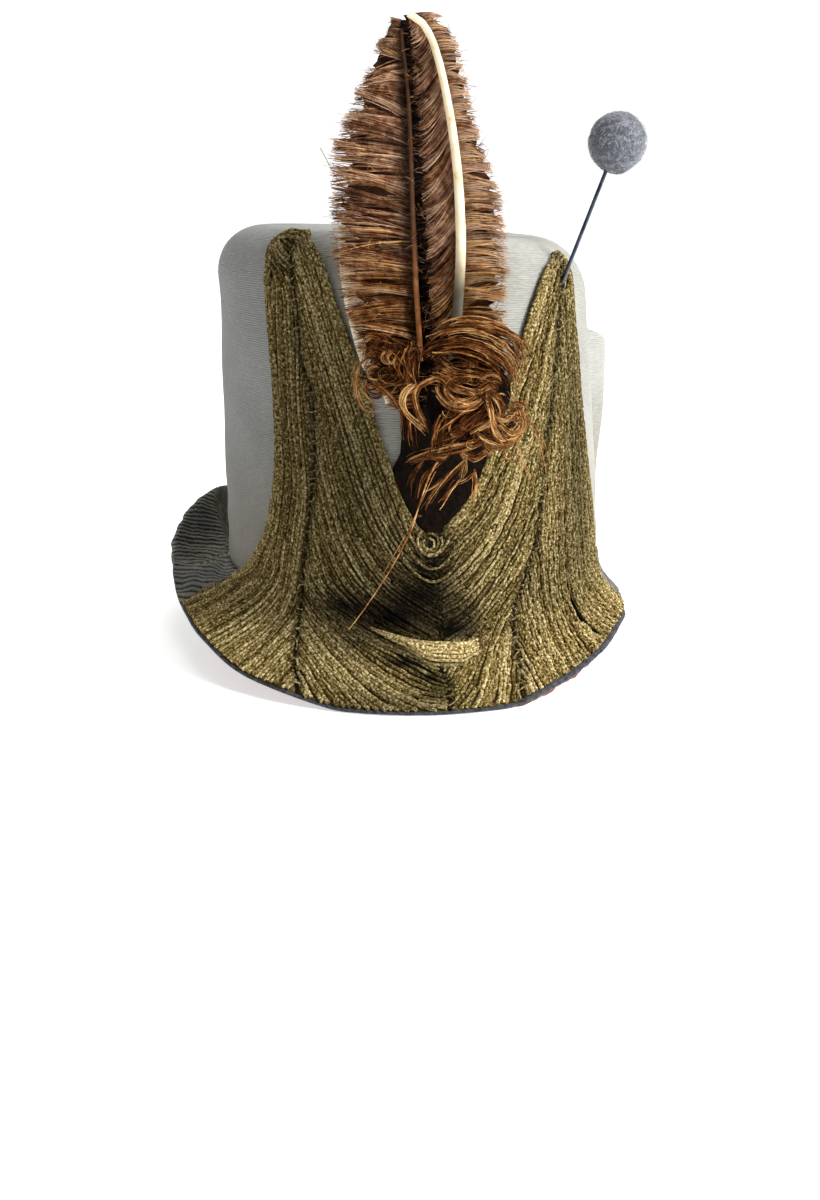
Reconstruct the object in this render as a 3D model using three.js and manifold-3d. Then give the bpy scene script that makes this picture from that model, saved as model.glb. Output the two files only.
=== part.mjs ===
// A tall-crowned cloche hat, standing on its brim, with its front towards -Y.
// A pale cloth crown is wrapped at the front by four corded panels. They rise up the crown in two
// tongues with a V between them, and flare out below as the front brim. A gathered brim goes round
// the back and rolls up at the left. Two plume feathers and a curled tuft are sewn into the V,
// and a ball-headed pin goes in through the top of the right tongue.
// Lengths are in millimetres. Angles are in degrees round the crown, 0 at the front, 90 at +X.
import * as THREE from 'three';
import { mergeVertices } from 'three/addons/utils/BufferGeometryUtils.js';
import Module from 'manifold-3d';

// Crown
const crownHalfWidth = 84.5;
const crownHalfDepth = 95;
const crownHeight = 150;
const crownWall = 1.8;
const crownCorner = 22;
const crownLean = 5;
const crownTopDrop = 7;
const crownFoldLift = 9;
const seatHeight = 24;

// Corded cloth, brim and the pieces sewn under its edge
const clothWall = 2.6;
const layGap = 0.6;
const seamGap = 0.5;
const brimReach = 24;
const frontWrap = 21;
const backWrap = 12;
const tuckLift = 4;
const slitWidth = 1.3;
const slitLength = 30;
const slitInset = 3.5;
const gatherPitch = 11.5;
const gatherDepth = 1.1;
const brimEndGap = 14;
const bindingWidth = 2.4;
const facingWall = 1.2;
const facingShow = 3;
const facingInset = 4;
const floorFlat = 1.2;

// Plume
const plumeFoot = 88;
const plumeHeight = 160;
const plumeWidth = 60;
const leftQuillWidth = 2.4;
const rightQuillWidth = 4.2;
const quillTaper = 0.45;
const vaneWall = 1.6;
const lockPitch = 9.5;
const backingWall = 1.2;
const backingWidth = 59;
const backingHeight = 72;
const padWall = 2.6;
const padWidth = 34;
const padHeight = 50;
const tuftWidth = 44;
const tuftHeight = 42;
const tuftDepth = 20;
const tuftLockWidth = 4.6;

// Hatpin
const pinWidth = 1.5;
const pinOut = 42;
const pinIn = 62;
const pinHoleGap = 0.35;
const ballWidth = 22.5;
const ballSeat = 7;

const crownTop = seatHeight + crownHeight;
const cornerStart = crownTop - crownCorner;
const frontJoin = seatHeight + frontWrap;
const backJoin = seatHeight + backWrap;

// Crown sections: height as a share of the crown's, then shares of its half width, half depth and lean.
const crownSections = [
  { height: 0.0, width: 1.0, depth: 1.0, lean: 0.5 },
  { height: 0.3, width: 0.985, depth: 0.975, lean: 0.25 },
  { height: 0.65, width: 0.955, depth: 0.945, lean: -0.15 },
  { height: 1.0, width: 0.925, depth: 0.925, lean: -0.5 },
];

// Soft folds that stand out of the crown's cloth, at the right and at the back: where each one is,
// how wide, between which shares of the crown's height, and its lift as a share of crownFoldLift.
const crownFolds = [
  { angle: 97, spread: 5.5, top: 0.76, peak: 0.7, foot: 0.22, lift: 1.0 },
  { angle: 206, spread: 9, top: 0.7, peak: 0.45, foot: 0.1, lift: 0.3 },
];

// Brim sections. join is where the brim leaves the wall; crease, dip and rise are heights along its
// curve as shares of seatHeight; turn and reach are how far out it stands, as shares of brimReach.
const frontBrim = [
  { angle: -92, crease: 1.15, dip: 1.0, rise: 0.92, turn: 0.55, reach: 0.92 },
  { angle: -74, crease: 1.15, dip: 0.98, rise: 0.8, turn: 0.52, reach: 0.9 },
  { angle: -57, crease: 1.15, dip: 0.92, rise: 0.62, turn: 0.5, reach: 1.04 },
  { angle: -45, crease: 1.1, dip: 0.75, rise: 0.37, turn: 0.48, reach: 1.1 },
  { angle: -33, crease: 1.1, dip: 0.65, rise: 0.19, turn: 0.46, reach: 1.06 },
  { angle: -18, crease: 1.1, dip: 0.6, rise: 0.05, turn: 0.42, reach: 1.06 },
  { angle: 12, crease: 1.05, dip: 0.55, rise: 0.06, turn: 0.42, reach: 1.01 },
  { angle: 25, crease: 1.1, dip: 0.65, rise: 0.25, turn: 0.42, reach: 0.9 },
  { angle: 38, crease: 1.15, dip: 0.75, rise: 0.52, turn: 0.42, reach: 0.86 },
  { angle: 52, crease: 1.15, dip: 0.88, rise: 0.7, turn: 0.42, reach: 0.68 },
  { angle: 70, crease: 1.15, dip: 0.95, rise: 0.61, turn: 0.4, reach: 0.44 },
  { angle: 92, crease: 1.1, dip: 0.9, rise: 0.55, turn: 0.4, reach: 0.44 },
];
const backBrim = [
  { angle: 66, crease: 1.1, dip: 0.92, rise: 0.63, turn: 0.4, reach: 0.47 },
  { angle: 92, crease: 1.0, dip: 0.85, rise: 0.55, turn: 0.42, reach: 0.46 },
  { angle: 118, crease: 0.9, dip: 0.6, rise: 0.4, turn: 0.55, reach: 0.7 },
  { angle: 148, crease: 0.8, dip: 0.42, rise: 0.01, turn: 0.5, reach: 0.8 },
  { angle: 200, crease: 0.8, dip: 0.42, rise: 0.01, turn: 0.5, reach: 0.8 },
  { angle: 216, crease: 0.8, dip: 0.42, rise: 1.3, turn: 0.75, reach: 0.98 },
  { angle: 234, crease: 0.75, dip: 0.4, rise: 2.05, turn: 1.0, reach: 1.02 },
  { angle: 248, crease: 0.75, dip: 0.42, rise: 1.9, turn: 1.0, reach: 1.06 },
  { angle: 260, crease: 0.85, dip: 0.55, rise: 1.46, turn: 0.9, reach: 1.14 },
  { angle: 273, crease: 1.1, dip: 0.95, rise: 1.08, turn: 0.58, reach: 1.0 },
  { angle: 300, crease: 1.1, dip: 0.95, rise: 0.58, turn: 0.52, reach: 0.92 },
];

// Tongue sections from the tip down. up is 1 at the crown's top, 0 where the brim begins and -1 at
// its edge. outer, seam and inner are angles: the outer edge, the seam between the two panels,
// and the edge of the V, which becomes the centre seam lower down.
const leftTongue = [
  { up: 0.985, outer: -47, seam: -41.5, inner: -37.5 },
  { up: 0.94, outer: -49, seam: -40.3, inner: -31.5 },
  { up: 0.89, outer: -46.8, seam: -37.8, inner: -27.2 },
  { up: 0.81, outer: -46.3, seam: -36.3, inner: -24.3 },
  { up: 0.67, outer: -45.4, seam: -35.4, inner: -19.8 },
  { up: 0.52, outer: -44.6, seam: -32, inner: -15.8 },
  { up: 0.38, outer: -44.6, seam: -32, inner: -12.2 },
  { up: 0.26, outer: -46, seam: -33.3, inner: -8.8 },
  { up: 0.18, outer: -47.8, seam: -34.4, inner: -5 },
  { up: 0.13, outer: -49.2, seam: -35.2, inner: -0.6 },
  { up: 0.08, outer: -51.5, seam: -36, inner: -0.6 },
  { up: 0, outer: -57, seam: -37.4, inner: -0.6 },
  { up: -0.35, outer: -68.5, seam: -37, inner: -0.5 },
  { up: -0.7, outer: -75, seam: -34.4, inner: -0.2 },
  { up: -1, outer: -74, seam: -31, inner: 0 },
];
const rightTongue = [
  { up: 0.955, outer: 52.6, seam: 50.9, inner: 49 },
  { up: 0.92, outer: 53.2, seam: 48.4, inner: 40.6 },
  { up: 0.88, outer: 50.6, seam: 45.2, inner: 35 },
  { up: 0.81, outer: 50, seam: 42.2, inner: 30.4 },
  { up: 0.67, outer: 51, seam: 39.6, inner: 24.8 },
  { up: 0.52, outer: 51.7, seam: 36.9, inner: 19.2 },
  { up: 0.38, outer: 53.3, seam: 33.4, inner: 14.2 },
  { up: 0.26, outer: 54.8, seam: 31.4, inner: 8.6 },
  { up: 0.2, outer: 56, seam: 30.2, inner: 4 },
  { up: 0.15, outer: 56.8, seam: 29.2, inner: -0.6 },
  { up: 0.08, outer: 57.5, seam: 27.8, inner: -0.6 },
  { up: 0, outer: 58, seam: 25, inner: -0.6 },
  { up: -0.35, outer: 60.5, seam: 19, inner: -0.5 },
  { up: -0.7, outer: 65, seam: 17.6, inner: -0.2 },
  { up: -1, outer: 69, seam: 16, inner: 0 },
];

// Folds in the corded cloth: centre angle and up value, spread in degrees and in up, and the lift
// as a share of tuckLift. The first is the sewn tuck at the centre front, over a hollow.
const clothFolds = [
  { angle: 3, up: -0.42, across: 9, along: 0.13, lift: 1.0 },
  { angle: 0, up: -0.72, across: 10, along: 0.12, lift: -0.5 },
  { angle: -15, up: -0.1, across: 10, along: 0.22, lift: -0.45 },
  { angle: 13, up: -0.12, across: 9, along: 0.2, lift: -0.35 },
  { angle: -33, up: -0.75, across: 6, along: 0.3, lift: 0.5 },
  { angle: 20, up: -0.75, across: 5, along: 0.3, lift: 0.45 },
  { angle: -56, up: -0.6, across: 8, along: 0.4, lift: 0.35 },
  { angle: 33, up: -0.7, across: 6, along: 0.3, lift: -0.3 },
  { angle: 56, up: -0.65, across: 6, along: 0.35, lift: 0.4 },
];

// Quill lines: up the plume, across it, and how far it bows out to the front, as shares of its size.
const leftQuillLine = [
  { up: 0.05, side: -0.08, bow: 0.0 },
  { up: 0.24, side: -0.095, bow: 0.0 },
  { up: 0.45, side: -0.125, bow: 0.0 },
  { up: 0.65, side: -0.148, bow: 0.01 },
  { up: 0.83, side: -0.165, bow: 0.01 },
  { up: 0.965, side: -0.195, bow: 0.01 },
];
const rightQuillLine = [
  { up: 0.2, side: 0.1, bow: 0.0 },
  { up: 0.34, side: 0.13, bow: 0.03 },
  { up: 0.5, side: 0.152, bow: 0.07 },
  { up: 0.65, side: 0.13, bow: 0.07 },
  { up: 0.82, side: 0.06, bow: 0.07 },
  { up: 0.94, side: -0.03, bow: 0.07 },
  { up: 0.985, side: -0.13, bow: 0.07 },
];

// Vane edges: the reach of the locks to the left and right of each quill, as shares of plumeWidth.
const leftVaneEdge = [
  { up: 0.14, left: 0.1, right: 0.06 },
  { up: 0.22, left: 0.2, right: 0.17 },
  { up: 0.36, left: 0.34, right: 0.18 },
  { up: 0.54, left: 0.46, right: 0.2 },
  { up: 0.7, left: 0.48, right: 0.18 },
  { up: 0.84, left: 0.3, right: 0.14 },
  { up: 0.95, left: 0.1, right: 0.08 },
];
const rightVaneEdge = [
  { up: 0.2, left: 0.06, right: 0.1 },
  { up: 0.3, left: 0.12, right: 0.23 },
  { up: 0.4, left: 0.16, right: 0.25 },
  { up: 0.56, left: 0.16, right: 0.24 },
  { up: 0.72, left: 0.16, right: 0.16 },
  { up: 0.86, left: 0.12, right: 0.1 },
  { up: 0.95, left: 0.06, right: 0.07 },
];

// Curled locks of the tuft: start and end directions round it in degrees, how far out each one
// swings, as a share of the tuft's size, and its thickness as a share of tuftLockWidth.
const tuftLocks = [
  { from: 150, to: 20, swing: 1.0, front: 0.55, thick: 1.2 },
  { from: 165, to: -5, swing: 0.82, front: 0.95, thick: 1.1 },
  { from: 120, to: -30, swing: 0.6, front: 1.15, thick: 1.0 },
  { from: 40, to: -80, swing: 1.02, front: 0.5, thick: 1.1 },
  { from: 15, to: -100, swing: 0.78, front: 0.9, thick: 1.0 },
  { from: 200, to: 320, swing: 0.95, front: 0.45, thick: 1.0 },
  { from: 190, to: 290, swing: 0.66, front: 0.9, thick: 0.9 },
  { from: 80, to: 210, swing: 0.9, front: 0.4, thick: 0.9 },
];

// Loose ends hanging out of the tuft: where each starts across it, where it ends, and its length.
const tuftEnds = [
  { start: -0.3, end: -0.45, drop: 0.75 },
  { start: -0.12, end: -0.35, drop: 0.95 },
  { start: 0.08, end: -0.1, drop: 0.85 },
  { start: 0.25, end: 0.18, drop: 0.62 },
];

const wasm = await Module();
wasm.setup();

const radians = (degrees) => (degrees * Math.PI) / 180;
const mix = (a, b, share) => a + (b - a) * share;
const hump = (x) => Math.exp(-x * x);
const steps = (count) => Array.from({ length: count + 1 }, (_, i) => i / count);

function smoothStep(low, high, x) {
  const share = Math.min(1, Math.max(0, (x - low) / (high - low)));
  return share * share * (3 - 2 * share);
}

// Reads a column of a table at any place along it, as a smooth curve that never overshoots its rows.
function readTable(rows, along, place, column) {
  const sorted = rows[0][along] < rows[rows.length - 1][along] ? rows : [...rows].reverse();
  const xs = sorted.map((row) => row[along]);
  const ys = sorted.map((row) => row[column]);
  if (place <= xs[0]) return ys[0];
  if (place >= xs[xs.length - 1]) return ys[ys.length - 1];
  const slope = (i) => (ys[i + 1] - ys[i]) / (xs[i + 1] - xs[i]);
  const tangent = (i) => {
    if (i === 0 || i === xs.length - 1) return 0;
    const before = slope(i - 1);
    const after = slope(i);
    return before * after <= 0 ? 0 : (2 * before * after) / (before + after);
  };
  const i = xs.findIndex((x) => x > place) - 1;
  const span = xs[i + 1] - xs[i];
  const t = (place - xs[i]) / span;
  const a = 2 * t ** 3 - 3 * t ** 2 + 1;
  const b = t ** 3 - 2 * t ** 2 + t;
  return a * ys[i] + b * span * tangent(i) + (1 - a) * ys[i + 1] + (t ** 3 - t ** 2) * span * tangent(i + 1);
}

// The point round the crown's oval at a height, out from the wall by a distance. The top of the
// crown is lower at the right, so heights near the top follow that slope.
function aroundCrown(angle, height, out) {
  const share = (height - seatHeight) / crownHeight;
  const across = (column) => readTable(crownSections, 'height', share, column);
  const turn = radians(angle);
  const x = across('lean') * crownLean + (crownHalfWidth * across('width') + out) * Math.sin(turn);
  const y = -(crownHalfDepth * across('depth') + out) * Math.cos(turn);
  const slope = -crownTopDrop * smoothStep(0.1, 1, share) * (x / (2 * crownHalfWidth));
  return new THREE.Vector3(x, y, height + slope);
}

// A point of the crown: on its outer surface where depth is 0, and outside or inside it otherwise.
function crownPoint(angle, height, depth) {
  const rise = Math.min(1, Math.max(0, (height - cornerStart) / crownCorner));
  const inset = crownCorner * (1 - Math.sqrt(1 - rise * rise));
  return aroundCrown(angle, height + depth * rise, depth * Math.sqrt(1 - rise * rise) - inset);
}

// How far the crown's own cloth stands out in its folds.
function crownLift(angle, height) {
  const share = (height - seatHeight) / crownHeight;
  return crownFolds.reduce((sum, fold) => {
    const end = share > fold.peak ? fold.top : fold.foot;
    const ramp = smoothStep(end, fold.peak, share);
    return sum + fold.lift * crownFoldLift * ramp * hump((angle - fold.angle) / fold.spread);
  }, 0);
}

// A closed wall between an outer and an inner grid of points, which share their rows and columns.
function wallBetween(outer, inner, loop) {
  const rows = outer.length;
  const columns = outer[0].length;
  const positions = [...outer.flat(), ...inner.flat()].flatMap((p) => [p.x, p.y, p.z]);
  const at = (side, i, j) => side * rows * columns + i * columns + (j % columns);
  const faces = [];
  const quad = (a, b, c, d) => faces.push([a, b, c], [a, c, d]);
  const spans = loop ? columns : columns - 1;
  for (let i = 0; i < rows - 1; i += 1) {
    for (let j = 0; j < spans; j += 1) {
      quad(at(0, i, j), at(0, i, j + 1), at(0, i + 1, j + 1), at(0, i + 1, j));
      quad(at(1, i, j), at(1, i + 1, j), at(1, i + 1, j + 1), at(1, i, j + 1));
    }
  }
  for (let j = 0; j < spans; j += 1) {
    quad(at(1, 0, j), at(1, 0, j + 1), at(0, 0, j + 1), at(0, 0, j));
    quad(at(0, rows - 1, j), at(0, rows - 1, j + 1), at(1, rows - 1, j + 1), at(1, rows - 1, j));
  }
  if (!loop) {
    for (let i = 0; i < rows - 1; i += 1) {
      quad(at(0, i, 0), at(0, i + 1, 0), at(1, i + 1, 0), at(1, i, 0));
      quad(at(0, i, spans), at(1, i, spans), at(1, i + 1, spans), at(0, i + 1, spans));
    }
  }
  return closedGeometry(positions, faces);
}

// A closed body lofted through rings of points, with a flat cap at each end.
function loftRings(rings) {
  const sides = rings[0].length;
  const positions = rings.flat().flatMap((p) => [p.x, p.y, p.z]);
  const faces = [];
  for (let i = 0; i < rings.length - 1; i += 1) {
    for (let j = 0; j < sides; j += 1) {
      const [a, b] = [i * sides + j, i * sides + ((j + 1) % sides)];
      faces.push([a, b, b + sides], [a, b + sides, a + sides]);
    }
  }
  const last = (rings.length - 1) * sides;
  for (let j = 1; j < sides - 1; j += 1) faces.push([0, j + 1, j], [last, last + j, last + j + 1]);
  return closedGeometry(positions, faces);
}

// Merges shared points, drops faces that have shrunk to a line, and turns the faces outwards.
function closedGeometry(positions, faces) {
  const raw = new THREE.BufferGeometry();
  raw.setAttribute('position', new THREE.Float32BufferAttribute(positions, 3));
  raw.setIndex(faces.flat());
  const merged = mergeVertices(raw, 1e-3);
  const index = merged.index.array;
  const corner = (i) => new THREE.Vector3().fromBufferAttribute(merged.attributes.position, index[i]);
  const kept = [];
  let volume = 0;
  for (let i = 0; i < index.length; i += 3) {
    const [a, b, c] = [index[i], index[i + 1], index[i + 2]];
    if (a === b || b === c || c === a) continue;
    kept.push([a, b, c]);
    volume += corner(i).dot(corner(i + 1).cross(corner(i + 2)));
  }
  merged.setIndex((volume > 0 ? kept : kept.map(([a, b, c]) => [a, c, b])).flat());
  return merged;
}

function toSolid(geometry) {
  const bare = geometry.clone();
  bare.deleteAttribute('normal');
  bare.deleteAttribute('uv');
  const merged = mergeVertices(bare, 1e-3);
  return new wasm.Manifold(
    new wasm.Mesh({
      numProp: 3,
      vertProperties: merged.attributes.position.array,
      triVerts: new Uint32Array(merged.index.array),
    }),
  );
}

function toGeometry(solid) {
  const mesh = solid.getMesh();
  const geometry = new THREE.BufferGeometry();
  geometry.setAttribute('position', new THREE.BufferAttribute(mesh.vertProperties, mesh.numProp));
  geometry.setIndex(new THREE.BufferAttribute(mesh.triVerts, 1));
  return geometry;
}

// Several bodies fused into one.
const fuse = (geometries) => toGeometry(geometries.map(toSolid).reduce((all, next) => all.add(next)));

// Body with each of the tools cut away.
function cut(body, tools) {
  return toGeometry(tools.reduce((left, tool) => left.subtract(toSolid(tool)), toSolid(body)));
}

// The cloth lies a little flat where it rests: everything under this level is cut away.
function floorBlock() {
  const span = 4 * (crownHalfDepth + brimReach);
  return new THREE.BoxGeometry(span, span, span).translate(0, 0, floorFlat - span / 2);
}

// The cloth's line in section at an angle: how far out it stands, its height, and its slope.
function brimLine(sections, join, angle, share) {
  const read = (column) => readTable(sections, 'angle', angle, column);
  const curve = new THREE.CubicBezierCurve(
    new THREE.Vector2(0, join),
    new THREE.Vector2(0, read('crease') * seatHeight),
    new THREE.Vector2(read('turn') * read('reach') * brimReach, read('dip') * seatHeight),
    new THREE.Vector2(read('reach') * brimReach, read('rise') * seatHeight),
  );
  return { point: curve.getPoint(share), slope: curve.getTangent(share) };
}

// A point of the brim, out from its line by depth, or past its edge. The line lies on the crown's wall.
function brimPoint(sections, join, angle, share, depth, past = 0) {
  const { point, slope } = brimLine(sections, join, angle, share);
  const out = point.x - slope.y * depth + slope.x * past;
  return aroundCrown(angle, point.y + slope.x * depth + slope.y * past, out);
}

function clothLift(angle, up) {
  return clothFolds.reduce(
    (sum, f) => sum + f.lift * tuckLift * hump((angle - f.angle) / f.across) * hump((up - f.up) / f.along),
    0,
  );
}

// A point of the corded cloth, from its tip (up 1) to the brim's edge (up -1). side is 0 on the face
// that lies on the crown and 1 on the outer face.
function clothPoint(angle, up, side) {
  const lift = clothLift(angle, up);
  const free = smoothStep(0, -0.35, up);
  const depth = layGap + side * clothWall + (lift > 0 ? lift : lift * mix(side * 0.6, 1, free));
  if (up >= 0) return crownPoint(angle, mix(frontJoin, crownTop, up), depth);
  return brimPoint(frontBrim, frontJoin, angle, -up, depth);
}

// Heights round the crown's top corner, one for each of these turns of its arc.
const cornerTurns = [0, 18, 36, 54, 72, 90];
const cornerHeights = cornerTurns.map((turn) => cornerStart + crownCorner * Math.sin(radians(turn)));

function crownGeometry() {
  const wallShares = [0, 0.22, 0.44, 0.58, 0.68, 0.72, 0.77];
  const topShares = [0.55, 0];
  const even = steps(30).slice(0, 30).map((share) => share * 360);
  const angles = [...even, 91.5, 97, 102.5, 111].sort((a, b) => a - b);
  const grid = (depth) => {
    const wallRow = (share) => (angle) => {
      const height = seatHeight + share * crownHeight;
      return crownPoint(angle, height, depth + crownLift(angle, height));
    };
    const cornerRow = (height) => (angle) => crownPoint(angle, height, depth);
    const rim = (angle) => crownPoint(angle, crownTop, depth);
    const centre = new THREE.Vector3(rim(90).x + rim(270).x, 0, rim(90).z + rim(270).z).multiplyScalar(0.5);
    const topRow = (share) => (angle) => centre.clone().lerp(rim(angle), share);
    const rows = [...wallShares.map(wallRow), ...cornerHeights.map(cornerRow), ...topShares.map(topRow)];
    return rows.map((row) => angles.map(row));
  };
  return wallBetween(grid(0), grid(-crownWall), true);
}

// One corded panel, between two of the tongue table's columns, less half a seam's gap at each side.
function panelGeometry(tongue, from, to, columns) {
  const cornerUps = cornerHeights.map((height) => (height - frontJoin) / (crownTop - frontJoin));
  const places = [tongue[0].up, ...cornerUps, 0.7, 0.56, 0.42, 0.3, 0.21, 0.1, 0];
  const brimPlaces = [-0.14, -0.28, -0.42, -0.58, -0.78, -1];
  const rows = [...places, ...brimPlaces].filter((up) => up <= tongue[0].up).sort((a, b) => b - a);
  const halfGap = ((seamGap / 2 / crownHalfDepth) * 180) / Math.PI;
  const grid = (side) =>
    rows.map((up) => {
      const start = readTable(tongue, 'up', up, from) + halfGap;
      const end = readTable(tongue, 'up', up, to) - halfGap;
      return steps(columns).map((share) => clothPoint(mix(start, end, share), up, side));
    });
  return cut(wallBetween(grid(1), grid(0), false), [floorBlock()]);
}

// A thin curved blade through the brim near its right end. What it cuts is the open slit there.
function slitBlade() {
  const length = frontJoin - seatHeight + brimReach;
  const fromEdge = [slitInset + slitLength, slitInset + slitLength / 2, slitInset];
  const shares = fromEdge.map((distance) => 1 - distance / length);
  const angles = [39.8, 40.4, 41.6];
  const grid = (depth) =>
    shares.map((share, i) => {
      const half = (slitWidth / 2 / crownHalfDepth) * (180 / Math.PI) * (i === 0 ? 0.3 : 1);
      return [-half, half].map((turn) => brimPoint(frontBrim, frontJoin, angles[i] + turn, share, depth));
    });
  return wallBetween(grid(3 * clothWall), grid(-clothWall), false);
}

// The gathered brim round the back, from the right front panel's end to the left one's.
function backBrimGeometry() {
  const gapAt = (share) => ((mix(brimEndGap, seamGap, share) / crownHalfDepth) * 180) / Math.PI;
  const endAt = (tongue, share, way) => readTable(tongue, 'up', -share, 'outer') + way * gapAt(share);
  const run = radians(360 - 2 * rightTongue[rightTongue.length - 1].outer) * (crownHalfWidth + brimReach);
  const folds = Math.round(run / gatherPitch);
  const shares = [0, 0.3, 0.6, 0.82, 1];
  const grid = (side) =>
    shares.map((share) =>
      steps(2 * folds).map((along, i) => {
        const start = endAt(rightTongue, share, 1);
        const end = 360 + endAt(leftTongue, share, -1);
        const wave = (i % 2) * gatherDepth * smoothStep(0, 0.4, share);
        return brimPoint(backBrim, backJoin, mix(start, end, along), share, layGap + side * clothWall + wave);
      }),
    );
  return cut(wallBetween(grid(1), grid(0), false), [floorBlock()]);
}

// The dark binding: a cord along the very edge of the front brim's cloth.
function bindingGeometry() {
  const [start, end] = [leftTongue, rightTongue].map((tongue) => tongue[tongue.length - 1].outer);
  const points = steps(28).map((share) => {
    const angle = mix(start + 0.5, end - 0.5, share);
    const middle = layGap + clothWall / 2 + clothLift(angle, -1);
    return brimPoint(frontBrim, frontJoin, angle, 1, middle, bindingWidth / 2 + seamGap);
  });
  const round = new THREE.EllipseCurve(0, 0, bindingWidth / 2, bindingWidth / 2);
  const section = new THREE.Shape(round.getPoints(6));
  const path = new THREE.CatmullRomCurve3(points);
  const cord = new THREE.ExtrudeGeometry(section, { steps: 36, bevelEnabled: false, extrudePath: path });
  return cut(cord, [floorBlock()]);
}

// The facing under the front brim, a thin cloth that shows below the edge at the right.
function facingGeometry() {
  const shares = [0.42, 0.6, 0.8, 0.99];
  const grid = (side) =>
    [...shares, 1].map((share, i) =>
      steps(20).map((along) => {
        const start = readTable(leftTongue, 'up', -share, 'outer') + facingInset;
        const end = readTable(rightTongue, 'up', -share, 'outer') - facingInset;
        const angle = mix(start, end, along);
        const shown = facingShow * smoothStep(24, 34, angle) * smoothStep(62, 52, angle);
        const past = i < shares.length ? 0 : shown;
        const dent = Math.min(0, clothLift(angle, -share)) * 1.4;
        return brimPoint(frontBrim, frontJoin, angle, share, dent - side * facingWall, past);
      }),
    );
  return cut(wallBetween(grid(0), grid(1), false), [floorBlock()]);
}

// How far out the pieces of the plume lie, one on the other: the pad, the backing, and the vanes,
// of which the right one lies a layer in front of the left one.
const backingDepth = layGap + Math.max(padWall, clothWall) + seamGap;
const vaneDepth = backingDepth + backingWall + seamGap;
const layerDepth = vaneWall + seamGap;

// A point of the plume: up it and across it as shares of its size, and out from the crown's front.
function plumePoint(up, side, depth) {
  const height = plumeFoot + up * plumeHeight;
  const wall = aroundCrown(0, Math.min(height, crownTop), depth).y;
  const past = Math.max(0, height - crownTop) / plumeHeight;
  return new THREE.Vector3(side * plumeWidth, wall + past * past * plumeWidth * 0.5, height);
}

// The middle of a plume piece that follows a quill's line, at a depth, with its way across.
function alongQuill(line, up, depth) {
  const read = (place, column) => readTable(line, 'up', place, column);
  const pointAt = (place) => plumePoint(place, read(place, 'side'), depth + read(place, 'bow') * plumeWidth);
  const way = pointAt(up + 0.01).sub(pointAt(up - 0.01)).normalize();
  const front = new THREE.Vector3(0, -1, 0).addScaledVector(way, way.y).normalize();
  return { centre: pointAt(up), front, across: new THREE.Vector3().crossVectors(way, front) };
}

function quillGeometry(line, width, layer) {
  const [low, high] = [line[0].up, line[line.length - 1].up];
  const depth = vaneDepth + (layer + 1) * layerDepth + width / 2;
  const rings = steps(10).map((share) => {
    const { centre, front, across } = alongQuill(line, mix(low, high, share), depth);
    const half = (width / 2) * mix(1, quillTaper, share);
    return steps(6).slice(0, 6).map((part) => {
      const turn = 2 * Math.PI * part;
      return centre
        .clone()
        .addScaledVector(across, Math.cos(turn) * half)
        .addScaledVector(front, Math.sin(turn) * half);
    });
  });
  return loftRings(rings);
}

// A flat strip through ring centres, with its half width and half wall at each.
function stripGeometry(rings) {
  return loftRings(
    rings.map(({ centre, across, front, half, wall }) =>
      [
        [-1, -1],
        [1, -1],
        [1, 1],
        [-1, 1],
      ].map(([a, b]) => centre.clone().addScaledVector(across, a * half).addScaledVector(front, b * wall)),
    ),
  );
}

// A vane: a web behind its quill, with tapered locks to both sides, fused into one body.
function vaneGeometry(line, edge, layer) {
  const [low, high] = [edge[0].up, edge[edge.length - 1].up];
  const middle = vaneDepth + layer * layerDepth + vaneWall / 2;
  const web = stripGeometry(
    steps(12).map((share) => {
      const place = alongQuill(line, mix(low, high, share), middle);
      return { ...place, half: mix(3, 1.6, share), wall: vaneWall / 2 };
    }),
  );
  const count = Math.round(((high - low) * plumeHeight) / lockPitch);
  const upwards = new THREE.Vector3(0, 0, 1);
  const front = new THREE.Vector3(0, -1, 0);
  const locks = steps(count).flatMap((along) => {
    const up = mix(low, high, along);
    const { centre } = alongQuill(line, up, middle);
    return ['left', 'right'].map((column) => {
      const reach = readTable(edge, 'up', up, column) * plumeWidth * (column === 'left' ? -1 : 1);
      const rise = lockPitch * mix(0.4, 1.2, along);
      const rings = [0, 0.6, 1].map((share) => ({
        centre: centre.clone().add(new THREE.Vector3(reach * share, 0, rise * share * (1.6 - 0.6 * share))),
        across: upwards,
        front,
        half: lockPitch * mix(0.6, 0.18, share ** 2),
        wall: (vaneWall / 2) * mix(1, 0.6, share),
      }));
      return stripGeometry(rings);
    });
  });
  return fuse([web, ...locks]);
}

// The stiff cream leaf behind the feathers, which shows along their lower edges.
function backingGeometry() {
  const widths = [0.16, 0.42, 0.62, 0.8, 0.95, 1.0, 0.8];
  const foot = plumeFoot + 0.18 * plumeHeight;
  const grid = (side) =>
    widths.map((share, i) => {
      const height = foot + (i / (widths.length - 1)) * backingHeight;
      return steps(4).map((along) => {
        const x = mix(-0.5, 0.5, along) * share * backingWidth - 5.5;
        const angle = (Math.asin(x / crownHalfWidth) * 180) / Math.PI;
        return aroundCrown(angle, Math.min(height, crownTop), backingDepth + side * backingWall).setZ(height);
      });
    });
  return wallBetween(grid(1), grid(0), false);
}

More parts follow.
